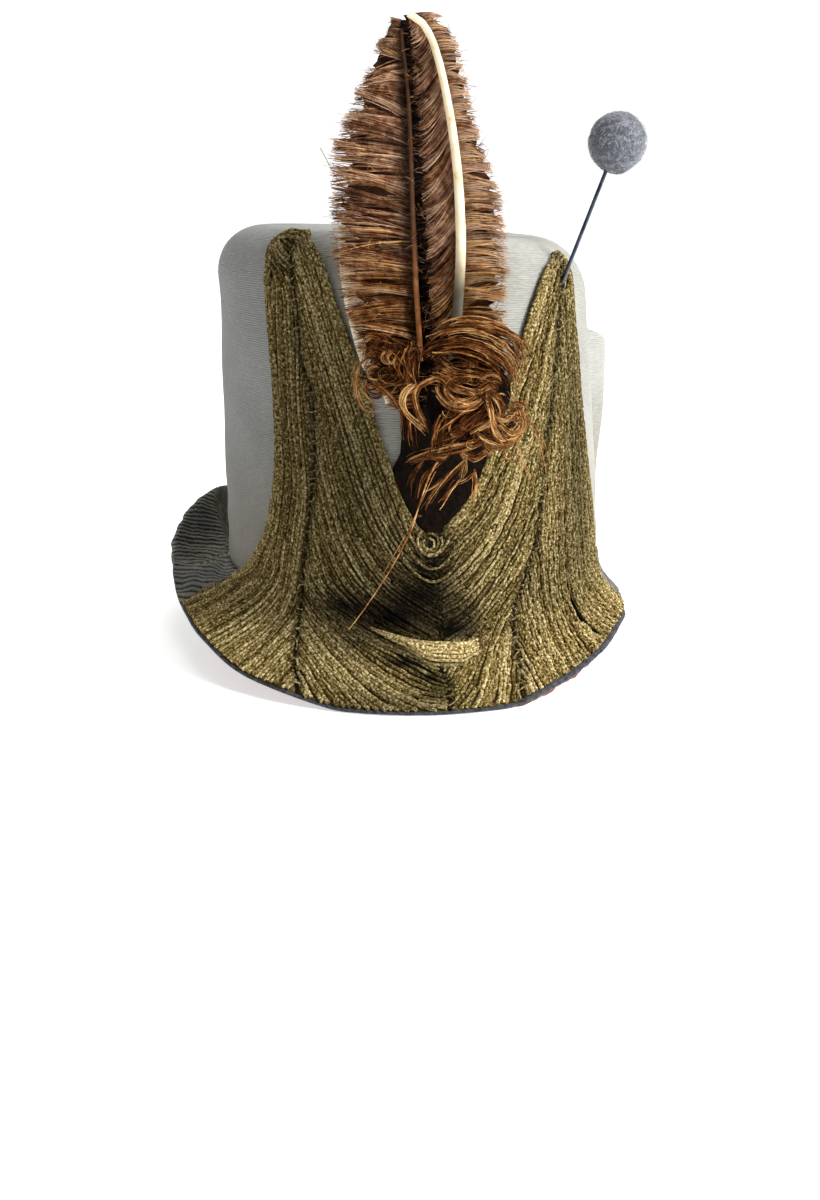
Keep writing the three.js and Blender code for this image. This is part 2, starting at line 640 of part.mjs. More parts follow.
// The dark pad in the V, on which the backing, the feathers and the tuft are sewn.
function padGeometry() {
  const widths = [0.06, 0.3, 0.52, 0.72, 0.86, 0.8];
  const foot = mix(frontJoin, crownTop, 0.215);
  const grid = (side) =>
    widths.map((share, i) => {
      const rise = i / (widths.length - 1);
      const middle = mix(-1.4, 5.5, rise);
      const turn = ((share * padWidth) / 2 / crownHalfWidth) * (180 / Math.PI);
      return steps(4).map((along) => {
        const angle = middle + mix(-turn, turn, along);
        return crownPoint(angle, foot + rise * padHeight, layGap + side * padWall);
      });
    });
  return wallBetween(grid(1), grid(0), false);
}

// The tuft of curled feather, in front of the quills: locks wound round a core, and loose ends below.
function tuftGeometry() {
  const behind = vaneDepth + 2 * layerDepth + rightQuillWidth + seamGap;
  const centre = plumePoint(0.17, 0.14, behind + tuftDepth * 0.34);
  const core = new THREE.SphereGeometry(0.5, 10, 6)
    .scale(tuftWidth * 0.76, tuftDepth * 0.8, tuftHeight * 0.76)
    .translate(centre.x, centre.y, centre.z);
  const sweep = (points, thick, count) => {
    const half = (tuftLockWidth / 2) * thick;
    const section = new THREE.Shape(new THREE.EllipseCurve(0, 0, half, half).getPoints(5));
    const path = new THREE.CatmullRomCurve3(points);
    return new THREE.ExtrudeGeometry(section, { steps: count, bevelEnabled: false, extrudePath: path });
  };
  const curls = tuftLocks.map((lock) => {
    const points = steps(4).map((share) => {
      const turn = radians(mix(lock.from, lock.to, share));
      const bow = Math.sin(Math.PI * share);
      return new THREE.Vector3(
        centre.x + Math.cos(turn) * (tuftWidth / 2 - tuftLockWidth / 2) * lock.swing,
        centre.y - (tuftDepth / 2) * lock.front * mix(0.35, 0.8, bow),
        centre.z + Math.sin(turn) * (tuftHeight / 2 - tuftLockWidth / 2) * lock.swing,
      );
    });
    return sweep(points, lock.thick, 5);
  });
  const ends = tuftEnds.map((end) => {
    const points = [0, 0.5, 1].map(
      (share) =>
        new THREE.Vector3(
          centre.x + mix(end.start, end.end, share) * tuftWidth,
          centre.y,
          centre.z - tuftHeight * (0.3 + 0.62 * end.drop * share),
        ),
    );
    return sweep(points, 0.55, 3);
  });
  return fuse([core, ...curls, ...ends]);
}

// The pin's line: where it enters the right tongue, and which way it points, towards its ball.
const pinEntry = crownPoint(46, mix(frontJoin, crownTop, 0.885), layGap + clothWall);
const pinWay = new THREE.Vector3(0.365, 0.05, 0.93).normalize();

// A round bar along the pin's line, between two distances from the entry point.
function alongPin(width, low, high) {
  const turn = new THREE.Quaternion().setFromUnitVectors(new THREE.Vector3(0, 1, 0), pinWay);
  return new THREE.CylinderGeometry(width / 2, width / 2, high - low, 8)
    .translate(0, (low + high) / 2, 0)
    .applyQuaternion(turn)
    .translate(pinEntry.x, pinEntry.y, pinEntry.z);
}

// The hole that the pin makes, along the whole of its length, and a little past its top end.
const pinHole = () => alongPin(pinWidth + 2 * pinHoleGap, -pinIn, pinOut + ballSeat + pinHoleGap);

function ballGeometry() {
  const centre = pinEntry.clone().addScaledVector(pinWay, pinOut + ballWidth / 2);
  return new THREE.SphereGeometry(ballWidth / 2, 14, 10).translate(centre.x, centre.y, centre.z);
}

const finishes = {
  crownCloth: { color: 0xb9b8ae, roughness: 0.75, metalness: 0 },
  cordedCloth: { color: 0x7a6a3d, roughness: 0.8, metalness: 0 },
  gatheredCloth: { color: 0x5a5845, roughness: 0.8, metalness: 0 },
  slateBinding: { color: 0x45464b, roughness: 0.85, metalness: 0 },
  roseFacing: { color: 0x8c5a50, roughness: 0.85, metalness: 0 },
  brownVane: { color: 0x6b4630, roughness: 0.7, metalness: 0 },
  brownQuill: { color: 0x7a4526, roughness: 0.45, metalness: 0 },
  creamQuill: { color: 0xe8d7ae, roughness: 0.4, metalness: 0 },
  darkPad: { color: 0x1d1410, roughness: 0.9, metalness: 0 },
  pinSteel: { color: 0x3b4050, roughness: 0.35, metalness: 1 },
  greyFelt: { color: 0x8d8e95, roughness: 0.95, metalness: 0 },
};

const hat = new THREE.Group();

function add(name, geometry, finish) {
  const mesh = new THREE.Mesh(geometry, new THREE.MeshStandardMaterial(finishes[finish]));
  mesh.name = name;
  hat.add(mesh);
}

add('crown', cut(crownGeometry(), [pinHole()]), 'crownCloth');
add('left_outer_panel', panelGeometry(leftTongue, 'outer', 'seam', 8), 'cordedCloth');
add('left_inner_panel', panelGeometry(leftTongue, 'seam', 'inner', 5), 'cordedCloth');
add('right_inner_panel', cut(panelGeometry(rightTongue, 'inner', 'seam', 4), [pinHole()]), 'cordedCloth');
const slitPanel = cut(panelGeometry(rightTongue, 'seam', 'outer', 8), [pinHole(), slitBlade()]);
add('right_outer_panel', slitPanel, 'cordedCloth');
add('back_brim', backBrimGeometry(), 'gatheredCloth');
add('brim_binding', bindingGeometry(), 'slateBinding');
add('brim_facing', facingGeometry(), 'roseFacing');
add('plume_pad', padGeometry(), 'darkPad');
add('plume_backing', backingGeometry(), 'creamQuill');
add('left_vane', vaneGeometry(leftQuillLine, leftVaneEdge, 0), 'brownVane');
add('left_quill', quillGeometry(leftQuillLine, leftQuillWidth, 0), 'brownQuill');
add('right_vane', vaneGeometry(rightQuillLine, rightVaneEdge, 1), 'brownVane');
add('right_quill', quillGeometry(rightQuillLine, rightQuillWidth, 1), 'creamQuill');
add('tuft', tuftGeometry(), 'brownVane');
add('hatpin_shank', alongPin(pinWidth, -pinIn, pinOut + ballSeat), 'pinSteel');
add('hatpin_ball', cut(ballGeometry(), [pinHole()]), 'greyFelt');

// The hat stands on z = 0, with the middle of its box over the origin.
const box = new THREE.Box3().setFromObject(hat);
hat.position.set(-(box.min.x + box.max.x) / 2, -(box.min.y + box.max.y) / 2, -box.min.z);

export default hat;
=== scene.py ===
import math

import bpy
import numpy as np
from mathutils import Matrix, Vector


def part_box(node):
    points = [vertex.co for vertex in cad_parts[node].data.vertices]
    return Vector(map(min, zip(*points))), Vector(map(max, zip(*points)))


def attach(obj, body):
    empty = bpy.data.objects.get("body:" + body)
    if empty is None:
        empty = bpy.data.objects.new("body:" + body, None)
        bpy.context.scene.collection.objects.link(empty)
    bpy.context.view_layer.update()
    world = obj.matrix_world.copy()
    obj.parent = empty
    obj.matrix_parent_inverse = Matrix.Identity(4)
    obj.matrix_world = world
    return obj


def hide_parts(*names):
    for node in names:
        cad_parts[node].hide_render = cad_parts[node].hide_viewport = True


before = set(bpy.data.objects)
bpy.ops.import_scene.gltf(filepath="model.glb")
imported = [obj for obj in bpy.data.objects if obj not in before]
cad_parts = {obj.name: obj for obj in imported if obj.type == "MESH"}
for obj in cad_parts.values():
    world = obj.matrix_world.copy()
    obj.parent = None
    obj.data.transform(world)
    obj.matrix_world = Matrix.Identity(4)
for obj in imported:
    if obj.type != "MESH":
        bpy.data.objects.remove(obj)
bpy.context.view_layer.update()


def namedRows(names, rows):  # a table with its columns' names written once
    return [dict(zip(names, row)) for row in rows]


# The hat's own sizes, in millimetres, and angles in degrees round the crown: 0 is the front, 90 is +X.
hatShape = {
    "halfWidth": 84.5,
    "halfDepth": 95,
    "height": 150,
    "wall": 1.8,
    "corner": 22,
    "lean": 5,
    "topDrop": 7,
    "foldLift": 9,
    "seat": 24,
    "frontJoin": 45,
    "backJoin": 36,
    "brimReach": 24,
    "layGap": 0.6,
    "clothWall": 2.6,
}
crownTop = hatShape["seat"] + hatShape["height"]
cornerStart = crownTop - hatShape["corner"]

# Where the hat's own middle lies in the row frame, in millimetres, from the crown's box.
crownLow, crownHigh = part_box("crown")
hatPlace = np.array([
    crownLow.x * 1000 + hatShape["halfWidth"] - hatShape["lean"] / 2,
    (crownLow.y + crownHigh.y) * 500,
    crownLow.z * 1000 - hatShape["seat"],
])

# Crown sections: height as a share of the crown's, then shares of half width, half depth and lean.
crownSections = namedRows(("height", "width", "depth", "lean"), [
    (0.0, 1.0, 1.0, 0.5),
    (0.3, 0.985, 0.975, 0.25),
    (0.65, 0.955, 0.945, -0.15),
    (1.0, 0.925, 0.925, -0.5),
])

# Brim sections: heights as shares of the seat's height, reaches as shares of the brim's reach.
frontBrim = namedRows(("angle", "crease", "dip", "rise", "turn", "reach"), [
    (-92, 1.15, 1.0, 0.92, 0.55, 0.92),
    (-74, 1.15, 0.98, 0.8, 0.52, 0.9),
    (-57, 1.15, 0.92, 0.62, 0.5, 1.04),
    (-45, 1.1, 0.75, 0.37, 0.48, 1.1),
    (-33, 1.1, 0.65, 0.19, 0.46, 1.06),
    (-18, 1.1, 0.6, 0.05, 0.42, 1.06),
    (12, 1.05, 0.55, 0.06, 0.42, 1.01),
    (25, 1.1, 0.65, 0.25, 0.42, 0.9),
    (38, 1.15, 0.75, 0.52, 0.42, 0.86),
    (52, 1.15, 0.88, 0.7, 0.42, 0.68),
    (70, 1.15, 0.95, 0.61, 0.4, 0.44),
    (92, 1.1, 0.9, 0.55, 0.4, 0.44),
])
backBrim = namedRows(("angle", "crease", "dip", "rise", "turn", "reach"), [
    (66, 1.1, 0.92, 0.63, 0.4, 0.47),
    (92, 1.0, 0.85, 0.55, 0.42, 0.46),
    (118, 0.9, 0.6, 0.4, 0.55, 0.7),
    (148, 0.8, 0.42, 0.01, 0.5, 0.8),
    (200, 0.8, 0.42, 0.01, 0.5, 0.8),
    (216, 0.8, 0.42, 1.3, 0.75, 0.98),
    (234, 0.75, 0.4, 2.05, 1.0, 1.02),
    (248, 0.75, 0.42, 1.9, 1.0, 1.06),
    (260, 0.85, 0.55, 1.46, 0.9, 1.14),
    (273, 1.1, 0.95, 1.08, 0.58, 1.0),
    (300, 1.1, 0.95, 0.58, 0.52, 0.92),
])

# The front's two tongues, from the tip down: up is 1 at the crown's top, 0 where the brim starts, -1 at its edge.
leftTongue = namedRows(("up", "outer", "seam", "inner"), [
    (0.985, -47, -41.5, -37.5),
    (0.94, -49, -40.3, -31.5),
    (0.89, -46.8, -37.8, -27.2),
    (0.81, -46.3, -36.3, -24.3),
    (0.67, -45.4, -35.4, -19.8),
    (0.52, -44.6, -32, -15.8),
    (0.38, -44.6, -32, -12.2),
    (0.26, -46, -33.3, -8.8),
    (0.18, -47.8, -34.4, -5),
    (0.13, -49.2, -35.2, -0.6),
    (0.08, -51.5, -36, -0.6),
    (0, -57, -37.4, -0.6),
    (-0.35, -68.5, -37, -0.5),
    (-0.7, -75, -34.4, -0.2),
    (-1, -74, -31, 0),
])
rightTongue = namedRows(("up", "outer", "seam", "inner"), [
    (0.955, 52.6, 50.9, 49),
    (0.92, 53.2, 48.4, 40.6),
    (0.88, 50.6, 45.2, 35),
    (0.81, 50, 42.2, 30.4),
    (0.67, 51, 39.6, 24.8),
    (0.52, 51.7, 36.9, 19.2),
    (0.38, 53.3, 33.4, 14.2),
    (0.26, 54.8, 31.4, 8.6),
    (0.2, 56, 30.2, 4),
    (0.15, 56.8, 29.2, -0.6),
    (0.08, 57.5, 27.8, -0.6),
    (0, 58, 25, -0.6),
    (-0.35, 60.5, 19, -0.5),
    (-0.7, 65, 17.6, -0.2),
    (-1, 69, 16, 0),
])

# Folds of the corded cloth: middle, spread, and lift in millimetres. The first is the sewn tuck.
clothFolds = namedRows(("angle", "up", "across", "along", "lift"), [
    (3, -0.42, 9, 0.13, 4),
    (0, -0.72, 10, 0.12, -2),
    (-15, -0.1, 10, 0.22, -1.8),
    (13, -0.12, 9, 0.2, -1.4),
    (-33, -0.75, 6, 0.3, 2),
    (20, -0.75, 5, 0.3, 1.8),
    (-56, -0.6, 8, 0.4, 1.4),
    (33, -0.7, 6, 0.3, -1.2),
    (56, -0.65, 6, 0.35, 1.6),
])

# Painted shade on the corded cloth, where it is darker between its rows, in its folds and hollows and on its left side:
# middle, spread and strength.
paintedShadePatches = namedRows(("angle", "up", "across", "along", "dark"), [
    (-45, 0.5, 32, 0.5, 0.42),
    (-16, 0.25, 17, 0.42, 0.45),
    (-12, -0.24, 17, 0.23, 0.99),
    (-20, -0.45, 15, 0.22, 0.44),
    (42, -0.12, 12, 0.3, 0.18),
    (-7, -0.08, 9, 0.13, 0.8),
    (-25, -0.2, 10, 0.14, 0.85),
    (-3, 0.0, 7, 0.18, 0.88),
    (2, -0.35, 8, 0.11, 0.97),
    (5, -0.2, 5, 0.14, 0.6),
    (-1, 0.12, 4, 0.08, 0.85),
    (-9, -0.62, 5, 0.045, 0.97),
    (-3, -0.72, 4, 0.045, 0.95),
    (-12, -0.95, 13, 0.13, 0.5),
    (-2, -0.84, 4, 0.14, 0.6),
    (47, 0.35, 9, 0.55, 0.6),
    (27, -0.1, 5, 0.2, 0.35),
])


def smoothStep(low, high, x):
    share = np.clip((np.asarray(x, float) - low) / (high - low), 0, 1)
    return share * share * (3 - 2 * share)


def hump(x):
    return np.exp(-np.square(x))


def readTable(rows, along, place, column):  # a smooth curve through a table's rows, that never overshoots them
    table = sorted(rows, key=lambda row: row[along])
    xs = np.array([row[along] for row in table], float)
    ys = np.array([row[column] for row in table], float)
    place = np.clip(place, xs[0], xs[-1])
    slopes = np.diff(ys) / np.diff(xs)
    tangents = np.zeros_like(ys)
    before, after = slopes[:-1], slopes[1:]
    same = before * after > 0
    tangents[1:-1][same] = 2 * before[same] * after[same] / (before[same] + after[same])
    i = np.clip(np.searchsorted(xs, place, side="right") - 1, 0, len(xs) - 2)
    span = xs[i + 1] - xs[i]
    t = (place - xs[i]) / span
    a = 2 * t**3 - 3 * t**2 + 1
    b = t**3 - 2 * t**2 + t
    return a * ys[i] + b * span * tangents[i] + (1 - a) * ys[i + 1] + (t**3 - t**2) * span * tangents[i + 1]


def aroundCrown(angle, height, out):  # points in the hat's own millimetres
    angle, height, out = np.broadcast_arrays(*(np.asarray(v, float) for v in (angle, height, out)))
    share = (height - hatShape["seat"]) / hatShape["height"]
    width = hatShape["halfWidth"] * readTable(crownSections, "height", share, "width")
    depth = hatShape["halfDepth"] * readTable(crownSections, "height", share, "depth")
    lean = hatShape["lean"] * readTable(crownSections, "height", share, "lean")
    turn = np.radians(angle)
    x = lean + (width + out) * np.sin(turn)
    y = -(depth + out) * np.cos(turn)
    slope = -hatShape["topDrop"] * smoothStep(0.1, 1, share) * x / (2 * hatShape["halfWidth"])
    return np.stack([x, y, height + slope], -1)


def crownPoint(angle, height, depth):  # on the crown's outer surface where depth is 0
    rise = np.clip((height - cornerStart) / hatShape["corner"], 0, 1)
    inset = hatShape["corner"] * (1 - np.sqrt(1 - rise**2))
    return aroundCrown(angle, height + depth * rise, depth * np.sqrt(1 - rise**2) - inset)


def brimPoint(sections, join, angle, share, depth, past=0.0):
    angle, share = np.broadcast_arrays(np.asarray(angle, float), np.asarray(share, float))
    seat, reach = hatShape["seat"], hatShape["brimReach"]
    edge = readTable(sections, "angle", angle, "reach") * reach
    xs = [0, 0, readTable(sections, "angle", angle, "turn") * edge, edge]
    zs = [join] + [readTable(sections, "angle", angle, column) * seat for column in ("crease", "dip", "rise")]
    t, s = share, 1 - share
    out = 3 * s * t**2 * xs[2] + t**3 * xs[3]
    height = s**3 * zs[0] + 3 * s**2 * t * zs[1] + 3 * s * t**2 * zs[2] + t**3 * zs[3]
    slopeOut = 6 * s * t * xs[2] + 3 * t**2 * (xs[3] - xs[2])
    slopeUp = 3 * s**2 * (zs[1] - zs[0]) + 6 * s * t * (zs[2] - zs[1]) + 3 * t**2 * (zs[3] - zs[2])
    length = np.sqrt(slopeOut**2 + slopeUp**2)
    slopeOut, slopeUp = slopeOut / length, slopeUp / length
    return aroundCrown(angle, height + slopeOut * depth + slopeUp * past, out - slopeUp * depth + slopeOut * past)


def clothLift(angle, up):
    total = np.zeros(np.broadcast(angle, up).shape)
    for fold in clothFolds:
        total += fold["lift"] * hump((angle - fold["angle"]) / fold["across"]) * hump((up - fold["up"]) / fold["along"])
    free = smoothStep(0, -0.35, up)
    return np.where(total > 0, total, total * (0.3 + 0.7 * free))


def clothShade(angle, up):
    total = np.ones(np.broadcast(angle, up).shape)
    for patch in paintedShadePatches:
        away = hump((angle - patch["angle"]) / patch["across"]) * hump((up - patch["up"]) / patch["along"])
        total *= 1 - patch["dark"] * away
    # Painted light: the outer brim is made lighter, as where it faces up towards the lamps.
    return total * (1 + 0.24 * smoothStep(-0.35, -0.75, up) * np.ones_like(total))


def clothPoint(angle, up, depth):  # on the corded cloth, depth being out from the crown
    angle, up = np.broadcast_arrays(np.asarray(angle, float), np.asarray(up, float))
    lifted = depth + clothLift(angle, up)
    onCrown = crownPoint(angle, hatShape["frontJoin"] + np.maximum(up, 0) * (crownTop - hatShape["frontJoin"]), lifted)
    onBrim = brimPoint(frontBrim, hatShape["frontJoin"], angle, np.maximum(-up, 0), lifted)
    return np.where((up >= 0)[..., None], onCrown, onBrim)


# Materials


def newMaterial(name, color, roughness, metallic=0.0, sheen=0.0):
    material = bpy.data.materials.new(name)
    material.use_nodes = True
    sockets = material.node_tree.nodes["Principled BSDF"].inputs
    sockets["Base Color"].default_value = (*color, 1)
    for label, value in (
        ("Roughness", roughness),
        ("Metallic", metallic),
        ("Sheen Weight", sheen),
        ("Sheen Roughness", 0.5),
        ("Specular IOR Level", 0.25 if roughness < 0.6 else 0.06),
    ):
        sockets[label].default_value = value
    return material


def addNode(tree, kind, inputs=None, **settings):  # an input is a value or another node's socket
    node = tree.nodes.new(kind)
    for name, value in settings.items():
        setattr(node, name, value)
    for name, value in (inputs or {}).items():
        if isinstance(value, bpy.types.NodeSocket):
            tree.links.new(value, node.inputs[name])
        else:
            node.inputs[name].default_value = value
    return node


def addRamp(tree, factor, stops):
    ramp = addNode(tree, "ShaderNodeValToRGB", {"Fac": factor})
    for i, (place, color) in enumerate(stops):
        stop = ramp.color_ramp.elements[i] if i < 2 else ramp.color_ramp.elements.new(place)
        stop.position = place
        stop.color = (*color, 1)
    return ramp.outputs["Color"]


def addMath(tree, operation, first, second):
    return addNode(tree, "ShaderNodeMath", {0: first, 1: second}, operation=operation).outputs[0]


def multiplyColor(tree, *colors):
    color = colors[0]
    for factor in colors[1:]:
        mix = addNode(tree, "ShaderNodeMix", {0: 1.0, 6: color, 7: factor}, data_type="RGBA", blend_type="MULTIPLY")
        color = mix.outputs[2]
    return color


def objectNoise(tree, scale, detail=2.0, stretch=None, roughness=0.5):
    where = addNode(tree, "ShaderNodeTexCoord").outputs["Object"]
    if stretch:
        where = addNode(tree, "ShaderNodeMapping", {"Vector": where, "Scale": stretch}).outputs["Vector"]
    inputs = {"Vector": where, "Scale": scale, "Detail": detail, "Roughness": roughness}
    return addNode(tree, "ShaderNodeTexNoise", inputs).outputs["Fac"]


def ownValue(tree, name, output="Fac"):  # a value that the piece's mesh carries at its points
    return addNode(tree, "ShaderNodeAttribute", attribute_name=name).outputs[output]


def finishMaterial(material, color, height=None, strength=0.3, distance=0.0004):
    tree = material.node_tree
    shader = tree.nodes["Principled BSDF"]
    tree.links.new(color, shader.inputs["Base Color"])
    if height:
        bump = addNode(tree, "ShaderNodeBump", {"Strength": strength, "Distance": distance, "Height": height})
        tree.links.new(bump.outputs["Normal"], shader.inputs["Normal"])
    return material


def strandMaterial(name, stops, grain, roughness, sheen=0.0, toneShare=0.5, bump=0.4):
    material = newMaterial(name, stops[1][1], roughness, sheen=sheen)
    tree = material.node_tree
    fine = objectNoise(tree, grain, 3.0, roughness=0.7)
    shift = addMath(tree, "MULTIPLY", addMath(tree, "SUBTRACT", ownValue(tree, "tone"), 0.5), toneShare)
    color = addRamp(tree, addMath(tree, "ADD", fine, shift), stops)
    return finishMaterial(material, multiplyColor(tree, color, ownValue(tree, "shade", "Color")), fine, bump)


# Colours by brightness of the grain, as place and colour.
yarnStops = [
    (0.34, (0.012, 0.007, 0.002)),
    (0.44, (0.09, 0.059, 0.012)),
    (0.55, (0.255, 0.188, 0.068)),
    (0.66, (0.64, 0.53, 0.29)),
]
barbStops = [
    (0.2, (0.025, 0.008, 0.004)),
    (0.42, (0.135, 0.05, 0.021)),
    (0.6, (0.29, 0.14, 0.072)),
    (0.82, (0.6, 0.38, 0.235)),
]
rustStops = [
    (0.22, (0.012, 0.003, 0.001)),
    (0.44, (0.104, 0.029, 0.005)),
    (0.62, (0.25, 0.088, 0.02)),
    (0.86, (0.64, 0.38, 0.15)),
]
brownStops = [(0.25, (0.1, 0.03, 0.008)), (0.5, (0.24, 0.085, 0.022)), (0.75, (0.4, 0.16, 0.05))]
creamStops = [(0.25, (0.5, 0.35, 0.17)), (0.45, (0.82, 0.68, 0.44)), (0.75, (0.92, 0.83, 0.62))]
# The ground cloth seen between the rows: partly its own dark colour and partly painted shade of the gaps.
groundStops = [(0.35, (0.02, 0.014, 0.004)), (0.65, (0.13, 0.095, 0.035))]


def crownMaterial():
    material = newMaterial("paleRibbedCloth", (0.5, 0.5, 0.46), 0.72, sheen=0.15)
    tree = material.node_tree
    cloud = addRamp(tree, objectNoise(tree, 22, 3.0), [
        (0.3, (0.355, 0.349, 0.3)),
        (0.5, (0.42, 0.416, 0.376)),
        (0.7, (0.474, 0.471, 0.435)),
    ])
    where = addNode(tree, "ShaderNodeTexCoord").outputs["Object"]
    axes = addNode(tree, "ShaderNodeSeparateXYZ", {"Vector": where}).outputs
    # Painted shade: the crown's left side is darker and bluer, as the side turned away from the lamps.
    aside = addMath(tree, "ADD", addMath(tree, "MULTIPLY", axes["X"], 5.0), 0.5)
    leftSideShade = addRamp(tree, aside, [(0.05, (0.52, 0.54, 0.57)), (0.6, (1, 1, 1))])
    height = addMath(tree, "MULTIPLY", axes["Z"], 5.0)
    foot = addRamp(tree, height, [(0.12, (0.8, 0.72, 0.57)), (0.5, (1, 1, 1))])
    thread = objectNoise(tree, 900, 2.0, (0.35, 0.35, 1.6))
    speck = addRamp(tree, thread, [(0.3, (0.8, 0.8, 0.8)), (0.7, (1, 1, 1))])
    uv = addNode(tree, "ShaderNodeUVMap").outputs["UV"]
    inputs = {"Vector": uv, "Scale": 0.36, "Distortion": 0.6, "Detail": 2.0}
    wave = addNode(tree, "ShaderNodeTexWave", inputs, bands_direction="Y").outputs["Fac"]
    # Painted shade in the furrows between the ribs.
    furrowShade = addRamp(tree, wave, [(0.1, (0.84, 0.84, 0.84)), (0.6, (1, 1, 1))])
    ribs = addMath(tree, "ADD", addMath(tree, "MULTIPLY", wave, 0.8), thread)
    color = multiplyColor(tree, cloud, leftSideShade, foot, speck, furrowShade)
    return finishMaterial(material, color, ribs, 0.5, 0.0006)


def gatherMaterial():  # fine ribs follow the piece's own phase values
    material = newMaterial("darkShadedGatheredCloth", (0.12, 0.12, 0.09), 0.75, sheen=0.1)
    tree = material.node_tree
    # The cloth's dark colour is partly its own and partly painted shade on the rolled back brim.
    cloud = addRamp(tree, objectNoise(tree, 45, 4.0), [
        (0.34, (0.15, 0.15, 0.14)),
        (0.5, (0.24, 0.23, 0.175)),
        (0.66, (0.34, 0.32, 0.24)),
    ])
    wobble = addMath(tree, "MULTIPLY", objectNoise(tree, 160, 2.0), 5.0)
    wave = addMath(tree, "SINE", addMath(tree, "ADD", ownValue(tree, "phase"), wobble), 0.0)
    rib = addMath(tree, "ADD", addMath(tree, "MULTIPLY", wave, 0.5), objectNoise(tree, 900, 2.0))
    # Painted shade in the valleys between the ribs.
    shade = addRamp(tree, rib, [(0.0, (0.06, 0.06, 0.08)), (0.35, (0.55, 0.55, 0.55)), (0.75, (1, 1, 1))])
    return finishMaterial(material, multiplyColor(tree, cloud, shade), rib, 0.6, 0.0007)


def plainCloth(name, dark, pale, grain, roughness=0.8, sheen=0.1):
    material = newMaterial(name, pale, roughness, sheen=sheen)
    fine = objectNoise(material.node_tree, grain, 3.0)
    return finishMaterial(material, addRamp(material.node_tree, fine, [(0.3, dark), (0.7, pale)]), fine)


def leafMaterial(name, dark, pale, roughness):
    material = newMaterial(name, pale, roughness)
    streak = objectNoise(material.node_tree, 160, 3.0, (6, 6, 0.6))
    color = addRamp(material.node_tree, streak, [(0.25, dark), (0.55, pale)])
    return finishMaterial(material, color, streak, 0.15, 0.0003)


yarnCloth = strandMaterial("oliveYarn", yarnStops, 1050, 0.8, toneShare=0.12, bump=0.5)
yarnGround = strandMaterial("yarnGround", groundStops, 900, 0.8, toneShare=0.0)
featherBarb = strandMaterial("brownBarb", barbStops, 260, 0.66, sheen=0.06, toneShare=0.75, bump=0.2)
rustBarb = strandMaterial("rustBarb", rustStops, 260, 0.78, toneShare=0.75, bump=0.2)
crownCloth = crownMaterial()
gatherCloth = gatherMaterial()
bindingCloth = plainCloth("slateEdge", (0.018, 0.019, 0.022), (0.085, 0.09, 0.105), 700)
facingCloth = plainCloth("roseFacing", (0.15, 0.065, 0.05), (0.3, 0.15, 0.115), 500)
# Near-black felt: on the plume's pad partly its own colour and partly painted deep shade; on the tuft's core, painted
# shade.
shadowFelt = plainCloth("padShadowFelt", (0.002, 0.0015, 0.001), (0.009, 0.005, 0.003), 600, 1.0, sheen=0.0)
# Dark sheet behind the barbs: painted shade of the deeper barbs between them.
shadedBarbGround = plainCloth("shadedBarbGround", (0.012, 0.005, 0.003), (0.07, 0.03, 0.015), 260, 0.9, sheen=0.0)
creamLeaf = leafMaterial("creamLeaf", (0.42, 0.33, 0.2), (0.72, 0.62, 0.44), 0.5)
brownQuill = strandMaterial("brownQuill", brownStops, 160, 0.42, toneShare=0.0, bump=0.1)
creamQuill = strandMaterial("creamQuill", creamStops, 120, 0.42, toneShare=0.0, bump=0.1)
print("materials made")


# Mesh helpers


def toFrame(points):
    return (np.asarray(points) + hatPlace) * 0.001


def addObject(name, data):
    holder = bpy.data.objects.new(name, data)
    bpy.context.scene.collection.objects.link(holder)
    return holder


def finishPiece(name, meshes, replaced):  # one piece from one mesh or several
    parts = [addObject(name, mesh) for mesh in meshes]
    piece = parts[0]
    if len(parts) > 1:
        with bpy.context.temp_override(active_object=piece, object=piece, selected_editable_objects=parts):
            bpy.ops.object.join()
    piece.name = name
    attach(piece, "root")
    if replaced:
        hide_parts(*replaced)
    return piece


def meshFrom(name, points, faces, material, uv=None, shade=None):
    mesh = bpy.data.meshes.new(name)
    mesh.from_pydata(points.tolist(), [], faces.tolist())
    mesh.materials.append(material)
    mesh.polygons.foreach_set("use_smooth", np.ones(len(mesh.polygons), bool))
    if uv is not None:
        layer = mesh.uv_layers.new(name="UVMap")
        corners = np.empty(len(mesh.loops), int)
        mesh.loops.foreach_get("vertex_index", corners)
        layer.data.foreach_set("uv", uv[corners].ravel())
    if shade is not None:
        mesh.attributes.new("shade", "FLOAT_COLOR", "POINT").data.foreach_set(
            "color", np.c_[shade, shade, shade, np.ones_like(shade)].ravel())
    mesh.update()
    return mesh


def wallFaces(rows, columns, loop):  # a closed wall's faces, between an outer and an inner grid
    spans = columns if loop else columns - 1
    i, j = (v.ravel() for v in np.meshgrid(np.arange(rows - 1), np.arange(spans), indexing="ij"))
    k = (j + 1) % columns
    inner = rows * columns
    outside = np.stack([i * columns + j, i * columns + k, (i + 1) * columns + k, (i + 1) * columns + j], -1)
    faces = [outside, outside[:, ::-1] + inner]
    ends = np.arange(spans)
    after = (ends + 1) % columns
    for row, way in ((0, 1), (rows - 1, -1)):
        edge = np.stack([row * columns + ends, inner + row * columns + ends, inner + row * columns + after,
                         row * columns + after], -1)
        faces.append(edge[:, ::way])
    if not loop:
        side = np.arange(rows - 1)
        for column, way in ((0, -1), (columns - 1, 1)):
            edge = np.stack([side * columns + column, inner + side * columns + column,
                             inner + (side + 1) * columns + column, (side + 1) * columns + column], -1)
            faces.append(edge[:, ::way])
    return np.concatenate(faces)


def outwards(points, faces):
    a, b, c, d = (points[faces[:, n]] for n in range(4))
    volume = np.einsum("ij,ij->", a, np.cross(b, c)) + np.einsum("ij,ij->", a, np.cross(c, d))
    return faces if volume > 0 else faces[:, ::-1]


